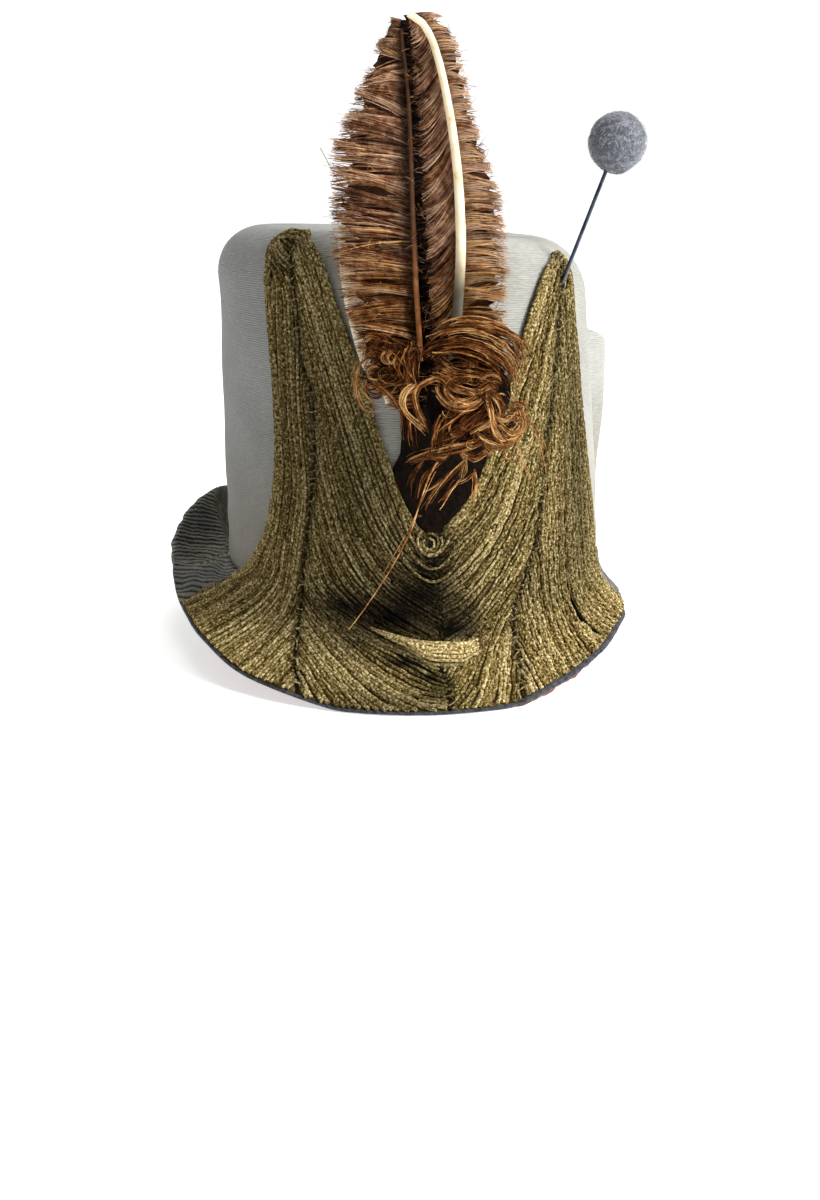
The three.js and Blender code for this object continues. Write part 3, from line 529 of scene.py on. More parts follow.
def wallMesh(name, outer, inner, loop, material, uv=None, shade=None):
    rows, columns = outer.shape[:2]
    points = np.concatenate([outer.reshape(-1, 3), inner.reshape(-1, 3)])
    faces = outwards(points, wallFaces(rows, columns, loop))
    if uv is not None:
        uv = np.concatenate([uv.reshape(-1, 2)] * 2)
    if shade is not None:
        shade = np.concatenate([shade.ravel()] * 2)
    return meshFrom(name, toFrame(points), faces, material, uv, shade)


def makeStrandTree():  # turns lines into round strands, with slubs and wobble from one noise
    tree = bpy.data.node_groups.new("strandsAlongLines", "GeometryNodeTree")
    for name, kind in (("Geometry", "Geometry"), ("Sides", "Int"), ("Grain", "Float"), ("Slub", "Float"),
                       ("Wobble", "Float"), ("Seed", "Float"), ("Material", "Material")):
        tree.interface.new_socket(name, in_out="INPUT", socket_type="NodeSocket" + kind)
    tree.interface.new_socket("Geometry", in_out="OUTPUT", socket_type="NodeSocketGeometry")
    given = addNode(tree, "NodeGroupInput").outputs
    place = addNode(tree, "GeometryNodeInputPosition").outputs[0]
    inputs = {"Vector": place, "W": given["Seed"], "Scale": given["Grain"]}
    noise = addNode(tree, "ShaderNodeTexNoise", inputs, noise_dimensions="4D").outputs
    centred = addNode(tree, "ShaderNodeVectorMath", {0: noise["Color"], 1: (0.5, 0.5, 0.5)}, operation="SUBTRACT")
    inputs = {0: centred.outputs[0], "Scale": given["Wobble"]}
    offset = addNode(tree, "ShaderNodeVectorMath", inputs, operation="SCALE").outputs[0]
    lines = addNode(tree, "GeometryNodeMeshToCurve", {"Mesh": given["Geometry"]}).outputs["Curve"]
    moved = addNode(tree, "GeometryNodeSetPosition", {"Geometry": lines, "Offset": offset}).outputs["Geometry"]
    width = addNode(tree, "GeometryNodeInputNamedAttribute", {"Name": "strandWidth"}, data_type="FLOAT")
    swell = addMath(tree, "MULTIPLY", addMath(tree, "SUBTRACT", noise["Fac"], 0.5), given["Slub"])
    radius = addMath(tree, "MULTIPLY", width.outputs["Attribute"], 0.5)
    radius = addMath(tree, "MULTIPLY", radius, addMath(tree, "ADD", swell, 1.0))
    ring = addNode(tree, "GeometryNodeCurvePrimitiveCircle", {"Radius": 1.0, "Resolution": given["Sides"]})
    inputs = {"Curve": moved, "Profile Curve": ring.outputs["Curve"], "Scale": radius, "Fill Caps": True}
    sweep = addNode(tree, "GeometryNodeCurveToMesh", inputs).outputs["Mesh"]
    smooth = addNode(tree, "GeometryNodeSetShadeSmooth", {"Geometry": sweep}).outputs["Geometry"]
    real = addNode(tree, "GeometryNodeRealizeInstances", {"Geometry": smooth}).outputs["Geometry"]
    dressed = addNode(tree, "GeometryNodeSetMaterial", {"Geometry": real, "Material": given["Material"]})
    addNode(tree, "NodeGroupOutput", {"Geometry": dressed.outputs["Geometry"]})
    return tree


strandTree = makeStrandTree()


def strandMesh(name, strands, material, sides=5, grain=600.0, slub=0.6, wobble=0.0002, seed=1.0):
    # Each strand is (points, widths, tone, shades), all in the hat's millimetres.
    points = np.concatenate([strand[0] for strand in strands])
    counts = [len(strand[0]) for strand in strands]
    starts = np.cumsum([0] + counts)
    edges = np.concatenate([np.c_[np.arange(a, b - 1), np.arange(a + 1, b)] for a, b in zip(starts, starts[1:])])
    lines = bpy.data.meshes.new(name + "Lines")
    lines.from_pydata(toFrame(points).tolist(), edges.tolist(), [])
    spread = lambda values: np.concatenate([np.broadcast_to(v, (n,)) for v, n in zip(values, counts)])
    for label, values in (
        ("strandWidth", spread([strand[1] for strand in strands]) * 0.001),
        ("tone", spread([strand[2] for strand in strands])),
        ("shade", spread([strand[3] for strand in strands])),
    ):
        lines.attributes.new(label, "FLOAT", "POINT").data.foreach_set("value", values.astype(np.float32))
    holder = addObject(name + "Lines", lines)
    modifier = holder.modifiers.new("strands", "NODES")
    modifier.node_group = strandTree
    given = {"Sides": sides, "Grain": grain, "Slub": slub, "Wobble": wobble, "Seed": seed, "Material": material}
    for item in strandTree.interface.items_tree:
        if item.in_out == "INPUT" and item.name in given:
            modifier[item.identifier] = given[item.name]
    graph = bpy.context.evaluated_depsgraph_get()
    mesh = bpy.data.meshes.new_from_object(holder.evaluated_get(graph), preserve_all_data_layers=True, depsgraph=graph)
    mesh.name = name
    bpy.data.objects.remove(holder)
    bpy.data.meshes.remove(lines)
    return mesh


# Camera, floor and light

cameraView = {
    "around": -7.0,  # degrees to the left of the front
    "down": 18.0,
    "away": 560.0,  # millimetres from the crown's axis, level
    "aside": 2.3,
    "height": 190.0,
    "lens": 37.8,
}


def makeCamera():
    turn = math.radians(cameraView["around"])
    back = np.array([math.sin(turn), -math.cos(turn), 0])
    right = np.array([math.cos(turn), math.sin(turn), 0])
    place = back * cameraView["away"] + right * cameraView["aside"] + np.array([0, 0, cameraView["height"]])
    camera = addObject("camera", bpy.data.cameras.new("camera"))
    camera.data.lens = cameraView["lens"]
    camera.data.sensor_width = 36
    camera.data.clip_start = 0.01
    camera.location = toFrame(place)
    camera.rotation_euler = (math.radians(90 - cameraView["down"]), 0, turn)
    bpy.context.scene.camera = camera


lightSet = {
    "world": 0.17,
    "target": (0, 0, 0.11),  # what the lamps face, in metres
    "lamps": namedRows(("name", "place", "size", "power"), [
        ("keyLamp", (1.25, -0.95, 1.05), 0.6, 44),
        ("fillLamp", (-0.5, -1.6, 0.7), 1.4, 2.2),
        ("topLamp", (0.3, 0.4, 1.7), 1.2, 16),
    ]),
}
floorLook = {"half": 9.0, "front": -6.0, "back": 2.2, "bend": 1.2, "height": 6.0, "glow": 0.55}


def makeFloor():  # the floor rises behind the hat in one soft bend
    look = floorLook
    turns = np.radians(np.linspace(0, 90, 24))
    line = [(look["front"], 0.0)]
    line += [(look["back"] + look["bend"] * math.sin(t), look["bend"] * (1 - math.cos(t))) for t in turns]
    line.append((look["back"] + look["bend"], look["height"]))
    points = np.array([(side * look["half"], y, z) for y, z in line for side in (-1, 1)])
    faces = np.array([(2 * k, 2 * k + 1, 2 * k + 3, 2 * k + 2) for k in range(len(line) - 1)])
    material = newMaterial("paleFloor", (0.9, 0.9, 0.9), 0.9)
    sockets = material.node_tree.nodes["Principled BSDF"].inputs
    sockets["Emission Color"].default_value = (1, 1, 1, 1)
    sockets["Emission Strength"].default_value = look["glow"]
    addObject("floor", meshFrom("floor", points, faces, material))


def makeLights():
    world = bpy.data.worlds.new("softDay")
    world.use_nodes = True
    sockets = world.node_tree.nodes["Background"].inputs
    sockets["Color"].default_value = (1, 1, 1, 1)
    sockets["Strength"].default_value = lightSet["world"]
    bpy.context.scene.world = world
    target = Vector(lightSet["target"])
    for lamp in lightSet["lamps"]:
        light = bpy.data.lights.new(lamp["name"], "AREA")
        light.energy = lamp["power"]
        light.size = lamp["size"]
        holder = addObject(lamp["name"], light)
        holder.location = lamp["place"]
        holder.rotation_euler = (target - holder.location).to_track_quat("-Z", "Y").to_euler()
    bpy.context.scene.view_settings.view_transform = "Standard"


makeCamera()
makeFloor()
makeLights()
print("camera, floor and light set")


# Crown

crownLook = {
    "rows": 84,
    "columns": [(0, 40), (80, 46), (110, 130)],  # where each stretch of them starts, in degrees, and how many it has
    "cornerRows": 16,
    "topRings": 16,
    "wrinkle": 0.35,
    "sag": 1.2,
    "centre": 0.0006,  # where the top's rings end, as a share of its edge
    "flat": (0.56, 0.3),  # the cut of the side and the round top together
    "area": 0.106,
    "folds": namedRows(("angle", "spread", "top", "peak", "foot", "lift"), [
        (95, 4.6, 0.755, 0.7, -0.1, 1.5),
        (268, 34, 2.0, 0.5, -1.0, -0.24),
        (206, 9, 0.7, 0.45, 0.1, 0.3),
    ]),
}


def crownLift(angle, height):
    share = (height - hatShape["seat"]) / hatShape["height"]
    total = np.zeros(np.broadcast(angle, height).shape)
    for fold in crownLook["folds"]:
        ramp = np.where(share > fold["peak"], 1 - smoothStep(fold["peak"], fold["top"], share),
                        smoothStep(fold["foot"], fold["peak"], share))
        total += fold["lift"] * hatShape["foldLift"] * ramp * hump((angle - fold["angle"]) / fold["spread"])
    slow = np.sin(np.radians(angle * 7) + height * 0.11) * np.sin(height * 0.055 + 1)
    slack = np.sin(np.radians(angle * 3 + 40) + height * 0.33) * hump((height - 45) / 22)
    return total + crownLook["wrinkle"] * (slow + 0.8 * slack)


def makeCrown():
    wall = np.linspace(hatShape["seat"], cornerStart, crownLook["rows"])
    turns = np.radians(np.linspace(0, 90, crownLook["cornerRows"])[1:])
    heights = np.concatenate([wall, cornerStart + hatShape["corner"] * np.sin(turns)])
    stretches = crownLook["columns"] + [(360, 0)]
    angles = np.concatenate([np.linspace(start, end, count, endpoint=False)
                             for (start, count), (end, _) in zip(stretches, stretches[1:])])
    grids = []
    for depth in (0.0, -hatShape["wall"]):
        calm = smoothStep(crownTop - 4, cornerStart - 8, heights)[:, None]
        lift = crownLift(angles[None, :], heights[:, None]) * calm
        side = crownPoint(angles[None, :], heights[:, None], depth + lift)
        rim = side[-1]
        centre = (rim.max(0) + rim.min(0)) / 2
        shares = np.linspace(1, crownLook["centre"], crownLook["topRings"])[1:, None, None]
        top = centre + (rim - centre) * shares
        top[..., 2] -= crownLook["sag"] * np.sin(np.pi * shares[..., 0]) * (1 + 0.4 * np.sin(np.radians(angles * 3)))
        grids.append(np.concatenate([side, top]))
    girth = 2 * math.pi * (hatShape["halfWidth"] + hatShape["halfDepth"]) / 2
    rows = np.concatenate([[0], np.cumsum(np.linalg.norm(np.diff(grids[0][:, 0], axis=0), axis=1))])
    uv = np.stack(np.broadcast_arrays(angles[None, :] / 360 * girth, rows[:, None]), -1)
    mesh = wallMesh("crownCloth", grids[0], grids[1], True, crownCloth, uv)
    crown = finishPiece("crownCloth", [mesh], ["crown"])


makeCrown()
print("crown made")


# Corded panels

cordedLook = {
    "pitch": 1.35,
    "crowd": 0.62,  # how near two rows come before one ends, as a share of the pitch
    "yarnWidth": 1.42,
    "uneven": 0.07,
    "step": 0.8,
    "ground": 1.1,
    "inset": 0.3,  # how far inside its outline each panel's rows stay, in degrees
    "degree": 1.62,  # millimetres of cloth in a degree
    "brimLength": 52.0,
    "tongueLength": 129.0,
}
yarnLevel = hatShape["layGap"] + cordedLook["ground"]  # the rows lie on the ground cloth


def toPath(up):
    return cordedLook["brimLength"] * (1 + np.minimum(up, 0)) + cordedLook["tongueLength"] * np.maximum(up, 0)


def fromPath(path):
    low = path / cordedLook["brimLength"] - 1
    high = (path - cordedLook["brimLength"]) / cordedLook["tongueLength"]
    return np.where(path < cordedLook["brimLength"], low, high)


# How the yarn rows run, as read off the front: angle, up, and heading in degrees on the flattened cloth.
rowHeadings = {
    "leftOuter": [
        (-48, 0.8, 82), (-46, 0.93, 148), (-43, 0.97, 166), (-40, 0.67, 91), (-46, 0.43, 87), (-38, 0.38, 95),
        (-46, 0.22, 78), (-51, 0.08, 62), (-41, 0.04, 78), (-59, -0.07, 39), (-48, -0.19, 63),
        (-40, -0.22, 81), (-74, -0.53, 67), (-60, -0.61, 70), (-66, -0.92, 83), (-48, -0.59, 73),
        (-38, -0.56, 72), (-50, -0.88, 74), (-41, -0.89, 75), (-35, -0.9, 75), (-56, -0.91, 72),
    ],
    "leftInner": [
        (-42, 0.96, 160), (-35, 0.9, 138), (-32, 0.81, 109), (-30, 0.73, 110), (-32, 0.59, 104),
        (-26, 0.54, 109), (-22, 0.54, 111), (-30, 0.39, 96), (-28, 0.38, 105), (-20, 0.34, 108),
        (-13, 0.32, 109), (-34, 0.18, 93), (-26, 0.19, 107), (-12, 0.26, 110), (-7, 0.2, 111),
        (-33, 0.05, 101), (-27, 0.07, 117), (-20, 0.07, 120), (-16, 0.04, 133), (-12, 0.13, 120),
        (-9, 0.08, 136), (-6, 0.13, 116), (-6, 0.05, 163), (-5, -0.03, 151), (-30, -0.17, 138),
        (-26, -0.25, 156), (-36, -0.24, 128), (-22, -0.13, 138), (-14, -0.15, 146), (-8, -0.22, 148),
        (-4, -0.3, 146), (-30, -0.52, 137), (-32, -0.54, 133), (-23, -0.32, 149), (-14, -0.43, 161),
        (-10, -0.48, 159), (-25, -0.66, 141), (-17, -0.65, 146), (-10, -0.64, 151), (-7, -0.68, 149),
        (-4, -0.74, 152), (-33, -0.7, 141), (-29, -0.87, 130), (-24, -0.86, 139), (-20, -0.86, 139),
        (-15, -0.88, 146), (-9, -0.95, 150), (-6, -0.95, 158), (-4, -0.91, 171), (-20, -0.99, 138),
    ],
    "rightInner": [
        (45, 0.92, 27), (36, 0.83, 55), (28, 0.69, 57), (34, 0.65, 71), (24, 0.54, 59), (31, 0.44, 73),
        (20, 0.43, 59), (24, 0.36, 62), (28, 0.32, 70), (16, 0.28, 58), (12, 0.24, 53), (22, 0.24, 65),
        (8, 0.15, 39), (4, 0.12, 39), (16, 0.13, 56), (23, 0.11, 55), (19, 0.06, 51), (26, 0.02, 43),
        (2, 0.08, 36), (10, 0.02, 45), (15, 0.02, 51), (4, -0.07, 29), (0, -0.03, 32), (8, -0.16, 42),
        (1, -0.2, 21), (12, -0.13, 43), (18, -0.19, 41), (10, -0.32, 39), (4, -0.31, 27), (16, -0.4, 53),
        (12, -0.55, 71), (16, -0.62, 77), (8, -0.57, 63), (4, -0.73, 57), (10, -0.74, 70), (14, -0.83, 77),
        (2, -0.84, 57), (2, -0.71, 66), (0, -0.87, 51), (-2, -0.83, 28), (-2, -0.95, 32), (-1, -1.0, 38),
        (3, -0.93, 46), (5, -0.97, 61), (9, -0.97, 63), (0, -0.76, 54),
    ],
    "rightOuter": [
        (46, 0.92, 34), (46, 0.74, 89), (40, 0.59, 91), (49, 0.52, 91), (34, 0.35, 81), (43, 0.3, 89),
        (51, 0.18, 92), (32, 0.16, 83), (40, 0.08, 89), (52, 0.03, 93), (28, -0.09, 92), (36, -0.21, 88),
        (45, -0.24, 96), (54, -0.25, 115), (24, -0.28, 90), (28, -0.42, 93), (35, -0.54, 89), (41, -0.53, 96),
        (42, -0.74, 97), (50, -0.57, 96), (52, -0.83, 89), (20, -0.58, 96), (26, -0.76, 90), (34, -0.8, 83),
        (19, -0.81, 95), (20, -0.33, 76), (58, -0.57, 105),
    ],
}
panels = namedRows(("name", "node", "tongue", "from", "to", "headings", "flat", "area"), [
    ("leftOuterPanel", "left_outer_panel", leftTongue, "outer", "seam", "leftOuter", (0.06, 0.19), 0.0056),
    ("leftInnerPanel", "left_inner_panel", leftTongue, "seam", "inner", "leftInner", (0.062, 0.19), 0.0073),
    ("rightInnerPanel", "right_inner_panel", rightTongue, "inner", "seam", "rightInner", (0.06, 0.19), 0.0055),
    ("rightOuterPanel", "right_outer_panel", rightTongue, "seam", "outer", "rightOuter", (0.088, 0.19), 0.0074),
])
slit = {"angles": (39.8, 40.4, 41.6), "inset": 3.5, "length": 30.0, "width": 1.3}


def slitAngle(up):  # where the slit runs, and nan where there's none
    length = hatShape["frontJoin"] - hatShape["seat"] + hatShape["brimReach"]
    end = 1 - slit["inset"] / length
    start = 1 - (slit["inset"] + slit["length"]) / length
    share = (-up - start) / (end - start)
    angle = np.interp(share, [0, 0.5, 1], slit["angles"])
    return np.where((share >= 0) & (share <= 1), angle, np.nan)


def resample(line, step):
    lengths = np.concatenate([[0], np.cumsum(np.linalg.norm(np.diff(line, axis=0), axis=1))])
    places = np.arange(0, lengths[-1], step)
    return np.stack([np.interp(places, lengths, line[:, n]) for n in range(line.shape[1])], -1)


def smoothLine(points, step):  # a smooth line through given points
    points = np.asarray(points, float)
    before = np.concatenate([[2 * points[0] - points[1]], points, [2 * points[-1] - points[-2]]])
    pieces = []
    for i in range(1, len(before) - 2):
        t = np.linspace(0, 1, 24, endpoint=False)[:, None]
        a, b, c, d = before[i - 1:i + 3]
        pieces.append(0.5 * (2 * b + (c - a) * t + (2 * a - 5 * b + 4 * c - d) * t**2 + (3 * b - a - 3 * c + d) * t**3))
    return resample(np.concatenate(pieces + [points[-1:]]), step)


def seamDip(angle, up):  # the pucker along each seam, 1 on it and 0 away from it
    total = np.zeros(np.broadcast(angle, up).shape)
    for tongue, reach in ((leftTongue, 1.5), (rightTongue, 1.5)):
        total = np.maximum(total, hump((angle - readTable(tongue, "up", up, "seam")) / reach))
    centre = hump((angle - centreSway(toPath(up))) / 1.1) * (up < 0.19)
    return np.maximum(total, 0.6 * centre)


def centreSway(path):  # how far the centre seam wanders from its line, in degrees
    sway = 0.75 * np.sin(path * 0.21) + 0.5 * np.sin(path * 0.53 + 1)
    return sway * smoothStep(70, 58, path) * smoothStep(0, 6, path)


def panelField(panel):  # the panel's outline and its rows' headings, on a grid of the flattened cloth
    look = cordedLook
    tongue = panel["tongue"]
    paths = np.arange(0, look["brimLength"] + look["tongueLength"] + 1, 1.0)
    ups = fromPath(paths)
    sway = centreSway(paths)
    low, high = (
        (readTable(tongue, "up", ups, panel[end]) + (sway + inset if panel[end] == "inner" else inset)) * look["degree"]
        for end, inset in (("from", look["inset"]), ("to", -look["inset"]))
    )
    start = low.min() - 2
    across = np.arange(start, high.max() + 3, 1.0)
    samples = np.array(rowHeadings[panel["headings"]], float)
    places = np.stack([samples[:, 0] * look["degree"], toPath(samples[:, 1])], -1)
    turns = np.radians(samples[:, 2]) * 2
    away = (across[:, None, None] - places[:, 0])**2 + (paths[None, :, None] - places[:, 1])**2
    weight = 1 / (away + 6)**1.6
    field = np.stack([(weight * np.cos(turns)).sum(-1), (weight * np.sin(turns)).sum(-1)], -1)
    return start, low, high, np.arctan2(field[..., 1], field[..., 0]) / 2, tongue[0]["up"]


def traceRows(panel):  # evenly spaced lines along the headings, on the flattened cloth
    look = cordedLook
    start, low, high, headings, tip = panelField(panel)
    top = float(toPath(np.array(tip)))
    step, pitch = look["step"], look["pitch"]
    near = (pitch * look["crowd"])**2
    cells = {}
    bounds = list(zip(low.tolist(), high.tolist()))
    cut = slitAngle(fromPath(np.arange(len(low)) * 1.0)) * look["degree"]

    def inside(x, y):
        if not 0.4 < y < top:
            return False
        k = min(int(y), len(bounds) - 1)
        if not bounds[k][0] < x < bounds[k][1]:
            return False
        return not abs(x - cut[k]) < slit["width"] / 2 + 0.7

    def crowded(x, y, limit, own):
        i, j = int(x // pitch), int(y // pitch)
        for a in (i - 1, i, i + 1):
            for b in (j - 1, j, j + 1):
                for px, py, line in cells.get((a, b), ()):
                    if line != own and (px - x)**2 + (py - y)**2 < limit:
                        return True
        return False

    def heading(x, y):
        i = min(max(int(round(x - start)), 0), headings.shape[0] - 1)
        j = min(max(int(round(y)), 0), headings.shape[1] - 1)
        return headings[i, j]

    lines = []
    first = 0.5 * (bounds[60][0] + bounds[60][1])
    seeds = [(first, 60.0)]
    for k in range(4, int(top) - 2, 9):
        seeds += [(mix, float(k)) for mix in np.linspace(bounds[k][0] + 1, bounds[k][1] - 1, 5)]
    done = 0
    while done < len(seeds):
        x, y = seeds[done]
        done += 1
        if not inside(x, y) or crowded(x, y, (0.9 * pitch)**2, -1):
            continue
        sides = []
        for way in (1, -1):
            px, py = x, y
            turn = heading(px, py)
            dx, dy = math.cos(turn) * way, math.sin(turn) * way
            line = []
            while len(line) < 400:
                turn = heading(px, py)
                cx, cy = math.cos(turn), math.sin(turn)
                if cx * dx + cy * dy < 0:
                    cx, cy = -cx, -cy
                dx, dy = 0.5 * dx + 0.5 * cx, 0.5 * dy + 0.5 * cy
                size = math.hypot(dx, dy)
                dx, dy = dx / size, dy / size
                px, py = px + dx * step, py + dy * step
                if not inside(px, py) or crowded(px, py, near, len(lines)):
                    break
                line.append((px, py))
            sides.append(line)
        line = sides[1][::-1] + [(x, y)] + sides[0]
        if len(line) < 5:
            continue
        for px, py in line:
            cells.setdefault((int(px // pitch), int(py // pitch)), []).append((px, py, len(lines)))
        lines.append(np.array(line))
        for (ax, ay), (bx, by) in zip(line[::3], line[1::3]):
            nx, ny = -(by - ay) / step * pitch, (bx - ax) / step * pitch
            seeds += [(ax + nx, ay + ny), (ax - nx, ay - ny)]
    return lines


def panelRows(panel, dice):
    look = cordedLook
    lines = traceRows(panel)
    flat = np.concatenate(lines)
    ups = fromPath(flat[:, 1])
    angles = flat[:, 0] / look["degree"]
    dip = seamDip(angles, ups)
    bob = np.concatenate([np.sin(np.cumsum(dice.normal(0.5, 0.3, len(line))) + dice.uniform(0, 6)) for line in lines])
    level = np.concatenate([np.full(len(line), dice.normal(0, look["uneven"])) for line in lines])
    depth = hatShape["layGap"] + look["ground"] + look["yarnWidth"] * 0.4 + 0.16 * bob + level - 1.1 * dip
    points = clothPoint(angles + 0.1 * bob, ups, depth)
    # Painted shade, deeper in the seams' puckers.
    shade = clothShade(angles, ups) * (1 - 0.5 * dip)
    stretch = 1 + 0.34 * np.clip(-ups, 0, 1)
    strands, k = [], 0
    for line in lines:
        part = slice(k, k + len(line))
        k += len(line)
        width = look["yarnWidth"] * stretch[part] * dice.uniform(0.82, 1.06)
        strands.append((points[part], width, dice.uniform(0, 1), shade[part]))
    return strands


def panelGround(panel):
    tongue = panel["tongue"]
    ups = np.concatenate([np.linspace(tongue[0]["up"], 0.02, 70), np.linspace(0, -1, 40)])
    shares = np.linspace(0, 1, 32)
    low = readTable(tongue, "up", ups, panel["from"])[:, None] + 0.2
    high = readTable(tongue, "up", ups, panel["to"])[:, None] - 0.2
    angles = low + (high - low) * shares
    grids = []
    for side in (1, 0):
        depth = hatShape["layGap"] + side * cordedLook["ground"] * (1 - 0.5 * seamDip(angles, ups[:, None]))
        grids.append(clothPoint(angles, ups[:, None], depth))
    return wallMesh(panel["name"] + "Ground", grids[0], grids[1], False, yarnGround,
                    shade=clothShade(angles, ups[:, None]))


def makePanels():
    dice = np.random.default_rng(7)
    for number, panel in enumerate(panels):
        mesh = strandMesh(panel["name"] + "Rows", panelRows(panel, dice), yarnCloth, sides=5, grain=800.0, slub=0.9,
                          wobble=0.0005, seed=number + 1.0)
        rows = finishPiece(panel["name"] + "Rows", [mesh], [])
        cloth = finishPiece(panel["name"], [panelGround(panel)], [panel["node"]])


makePanels()
print("corded panels made")


# The sewn tuck at the centre front, and the loops along the seams

# The tuck's middle line with its width and how far it stands out, from the end of its left arm.
tuckLine = namedRows(("share", "angle", "up", "wide", "out"), [
    (0.0, -18, -0.34, 1.4, 0.5),
    (0.2, -13.5, -0.4, 2.4, 2.2),
    (0.35, -10, -0.44, 3.4, 3.2),
    (0.5, -6.5, -0.495, 5.0, 3.9),
    (0.65, -2.5, -0.545, 8.4, 3.8),
    (0.8, 3.5, -0.555, 8.4, 2.6),
    (0.9, 7, -0.52, 6.4, 1.0),
    (1.0, 10.5, -0.45, 5.0, -1.2),
])
tuckLook = {"rows": 7, "yarnWidth": 1.5, "slit": [(-12.8, -0.52), (-9.2, -0.58), (-5.5, -0.64), (-1.6, -0.7)]}
# Rows that curl round the foot of the V: angle and up along each, and a ring's middle with its radius in millimetres.
whorlRows = [
    [(-9.5, 0.24), (-7, 0.15), (-3, 0.095), (1, 0.11), (4.5, 0.18)],
    [(-10, 0.18), (-7, 0.1), (-2.8, 0.055), (1.5, 0.07), (5.5, 0.14)],
    [(-10.5, 0.12), (-7, 0.05), (-2.5, 0.015), (1.8, 0.03), (6, 0.09)],
]
whorlRings = namedRows(("angle", "up", "radius", "start", "sweep"), [
    (-2.0, 0.135, 5.4, 2.2, 4.6),
    (-2.2, 0.135, 3.9, 3.0, 5.2),
    (-2.4, 0.13, 2.5, 2.4, 5.6),
    (-4.5, 0.19, 3.0, 1.4, 3.6),
])
loopLook = {
    "pitch": 2.6,
    "width": 0.7,
    "reach": 2.8,
    "lift": 0.9,
    "skipped": 0.22,
    "bulge": 0.7,
    "narrow": 0.75,
}
# The seams: how far each runs, how crowded its loops are, and where its dark line of painted shadow starts and how wide
# it is.
seams = namedRows(("tongue", "column", "top", "foot", "crowd", "lineTop", "lineWidth"), [
    (leftTongue, "seam", 0.93, -0.97, 1, 0.95, 1.5),
    (rightTongue, "seam", 0.9, -0.97, 1, 0.92, 1.5),
    (rightTongue, "inner", 0.16, -0.98, 1.7, 0.13, 2.6),
])
whorlLook = {"lift": 1.3, "width": 1.15, "close": 0.85}  # close: how much smaller a ring is at its end
slitLook = {"lift": 1.0, "width": 1.7, "outerLift": 0.5, "outerWidth": 1.5, "outer": (-0.28, -0.9)}


def tuckRows(dice):
    strands = []
    share = np.linspace(0, 1, 60)
    angle, up, wide, out = (readTable(tuckLine, "share", share, column) for column in ("angle", "up", "wide", "out"))
    for row in range(tuckLook["rows"]):
        across = row / (tuckLook["rows"] - 1) - 0.5
        sway = 0.25 * np.sin(share * 9 + dice.uniform(0, 6))
        start = int(dice.uniform(0, 0.22) * len(share))
        depth = yarnLevel + 0.4 + out * np.cos(across * 2.6)
        points = clothPoint(angle, up + (across * wide + sway * 0.4) / cordedLook["brimLength"], depth)
        width = tuckLook["yarnWidth"] * np.clip(wide / 6, 0.5, 1.05)
        # Painted highlight along the middle of the tuck's crescent, and painted shade on its first row, at its lower
        # edge.
        shade = np.interp(share, [0, 0.3, 0.6, 0.85, 1], [0.7, 1.15, 1.45, 1.25, 0.85]) * (1.0 - 0.45 * (row == 0))
        strands.append((points[start:], width[start:], dice.uniform(0.75, 1.1), shade[start:]))
    return strands


def seamAngle(seam, up):
    sway = centreSway(toPath(up)) if seam["column"] == "inner" else 0
    return readTable(seam["tongue"], "up", up, seam["column"]) + sway


def seamLoops(dice, seam):
    strands = []
    high, low = toPath(seam["top"]), toPath(seam["foot"])
    count = int(abs(low - high) / loopLook["pitch"] * seam["crowd"])
    t = np.linspace(-1, 1, 11)
    arch = 1 - t**2
    for n in range(count):
        if dice.uniform() < loopLook["skipped"]:
            continue
        up = fromPath(np.interp((n + dice.uniform(-0.3, 0.3)) / count, [0, 1], [high, low]))
        size = loopLook["reach"] * dice.uniform(0.5, 1.15)
        turn = dice.uniform(-0.9, 0.9) + (math.pi if dice.uniform() < 0.5 else 0)
        along = size * (t * math.sin(turn) + loopLook["bulge"] * arch * math.cos(turn + 1.2))
        across = size * (t * math.cos(turn) + loopLook["bulge"] * arch * math.sin(turn + 1.2)) * loopLook["narrow"]
        lift = loopLook["lift"] * dice.uniform(0.5, 1.2) * arch
        angles = seamAngle(seam, up) + across / cordedLook["degree"]
        ups = np.clip(fromPath(toPath(up) + along), -0.985, 0.95)
        width = loopLook["width"] * dice.uniform(0.7, 1.25)
        # Painted shade in the seam's groove, with a random spread.
        shade = clothShade(angles, ups) * dice.uniform(0.35, 0.85)
        strands.append((clothPoint(angles, ups, yarnLevel + 0.35 + lift), width, dice.uniform(0.3, 1.0), shade))
    return strands


# A dark strand under each seam: painted shadow in the seam's gaps.
def seamShadow(seam):
    ups = fromPath(np.linspace(1, toPath(seam["lineTop"]), 160))
    return clothPoint(seamAngle(seam, ups), ups, hatShape["layGap"] + 0.4), seam["lineWidth"], 0.1, 0.12


def whorlStrands(dice):
    rows = [[(angle * cordedLook["degree"], toPath(up)) for angle, up in row] for row in whorlRows]
    for ring in whorlRings:
        turn = ring["start"] + np.linspace(0, ring["sweep"], 12)
        size = ring["radius"] * np.linspace(1, whorlLook["close"], 12)
        across = ring["angle"] * cordedLook["degree"] + size * np.cos(turn)
        rows.append(np.stack([across, toPath(ring["up"]) + size * np.sin(turn)], -1))
    strands = []
    for row in rows:
        line = smoothLine(row, 0.8)
        points = clothPoint(line[:, 0] / cordedLook["degree"], fromPath(line[:, 1]), yarnLevel + whorlLook["lift"])
        # Darker, as painted shade at the foot of the V, with a random spread.
        strands.append((points, whorlLook["width"], dice.uniform(0.5, 0.9), dice.uniform(0.45, 0.75)))
    return strands


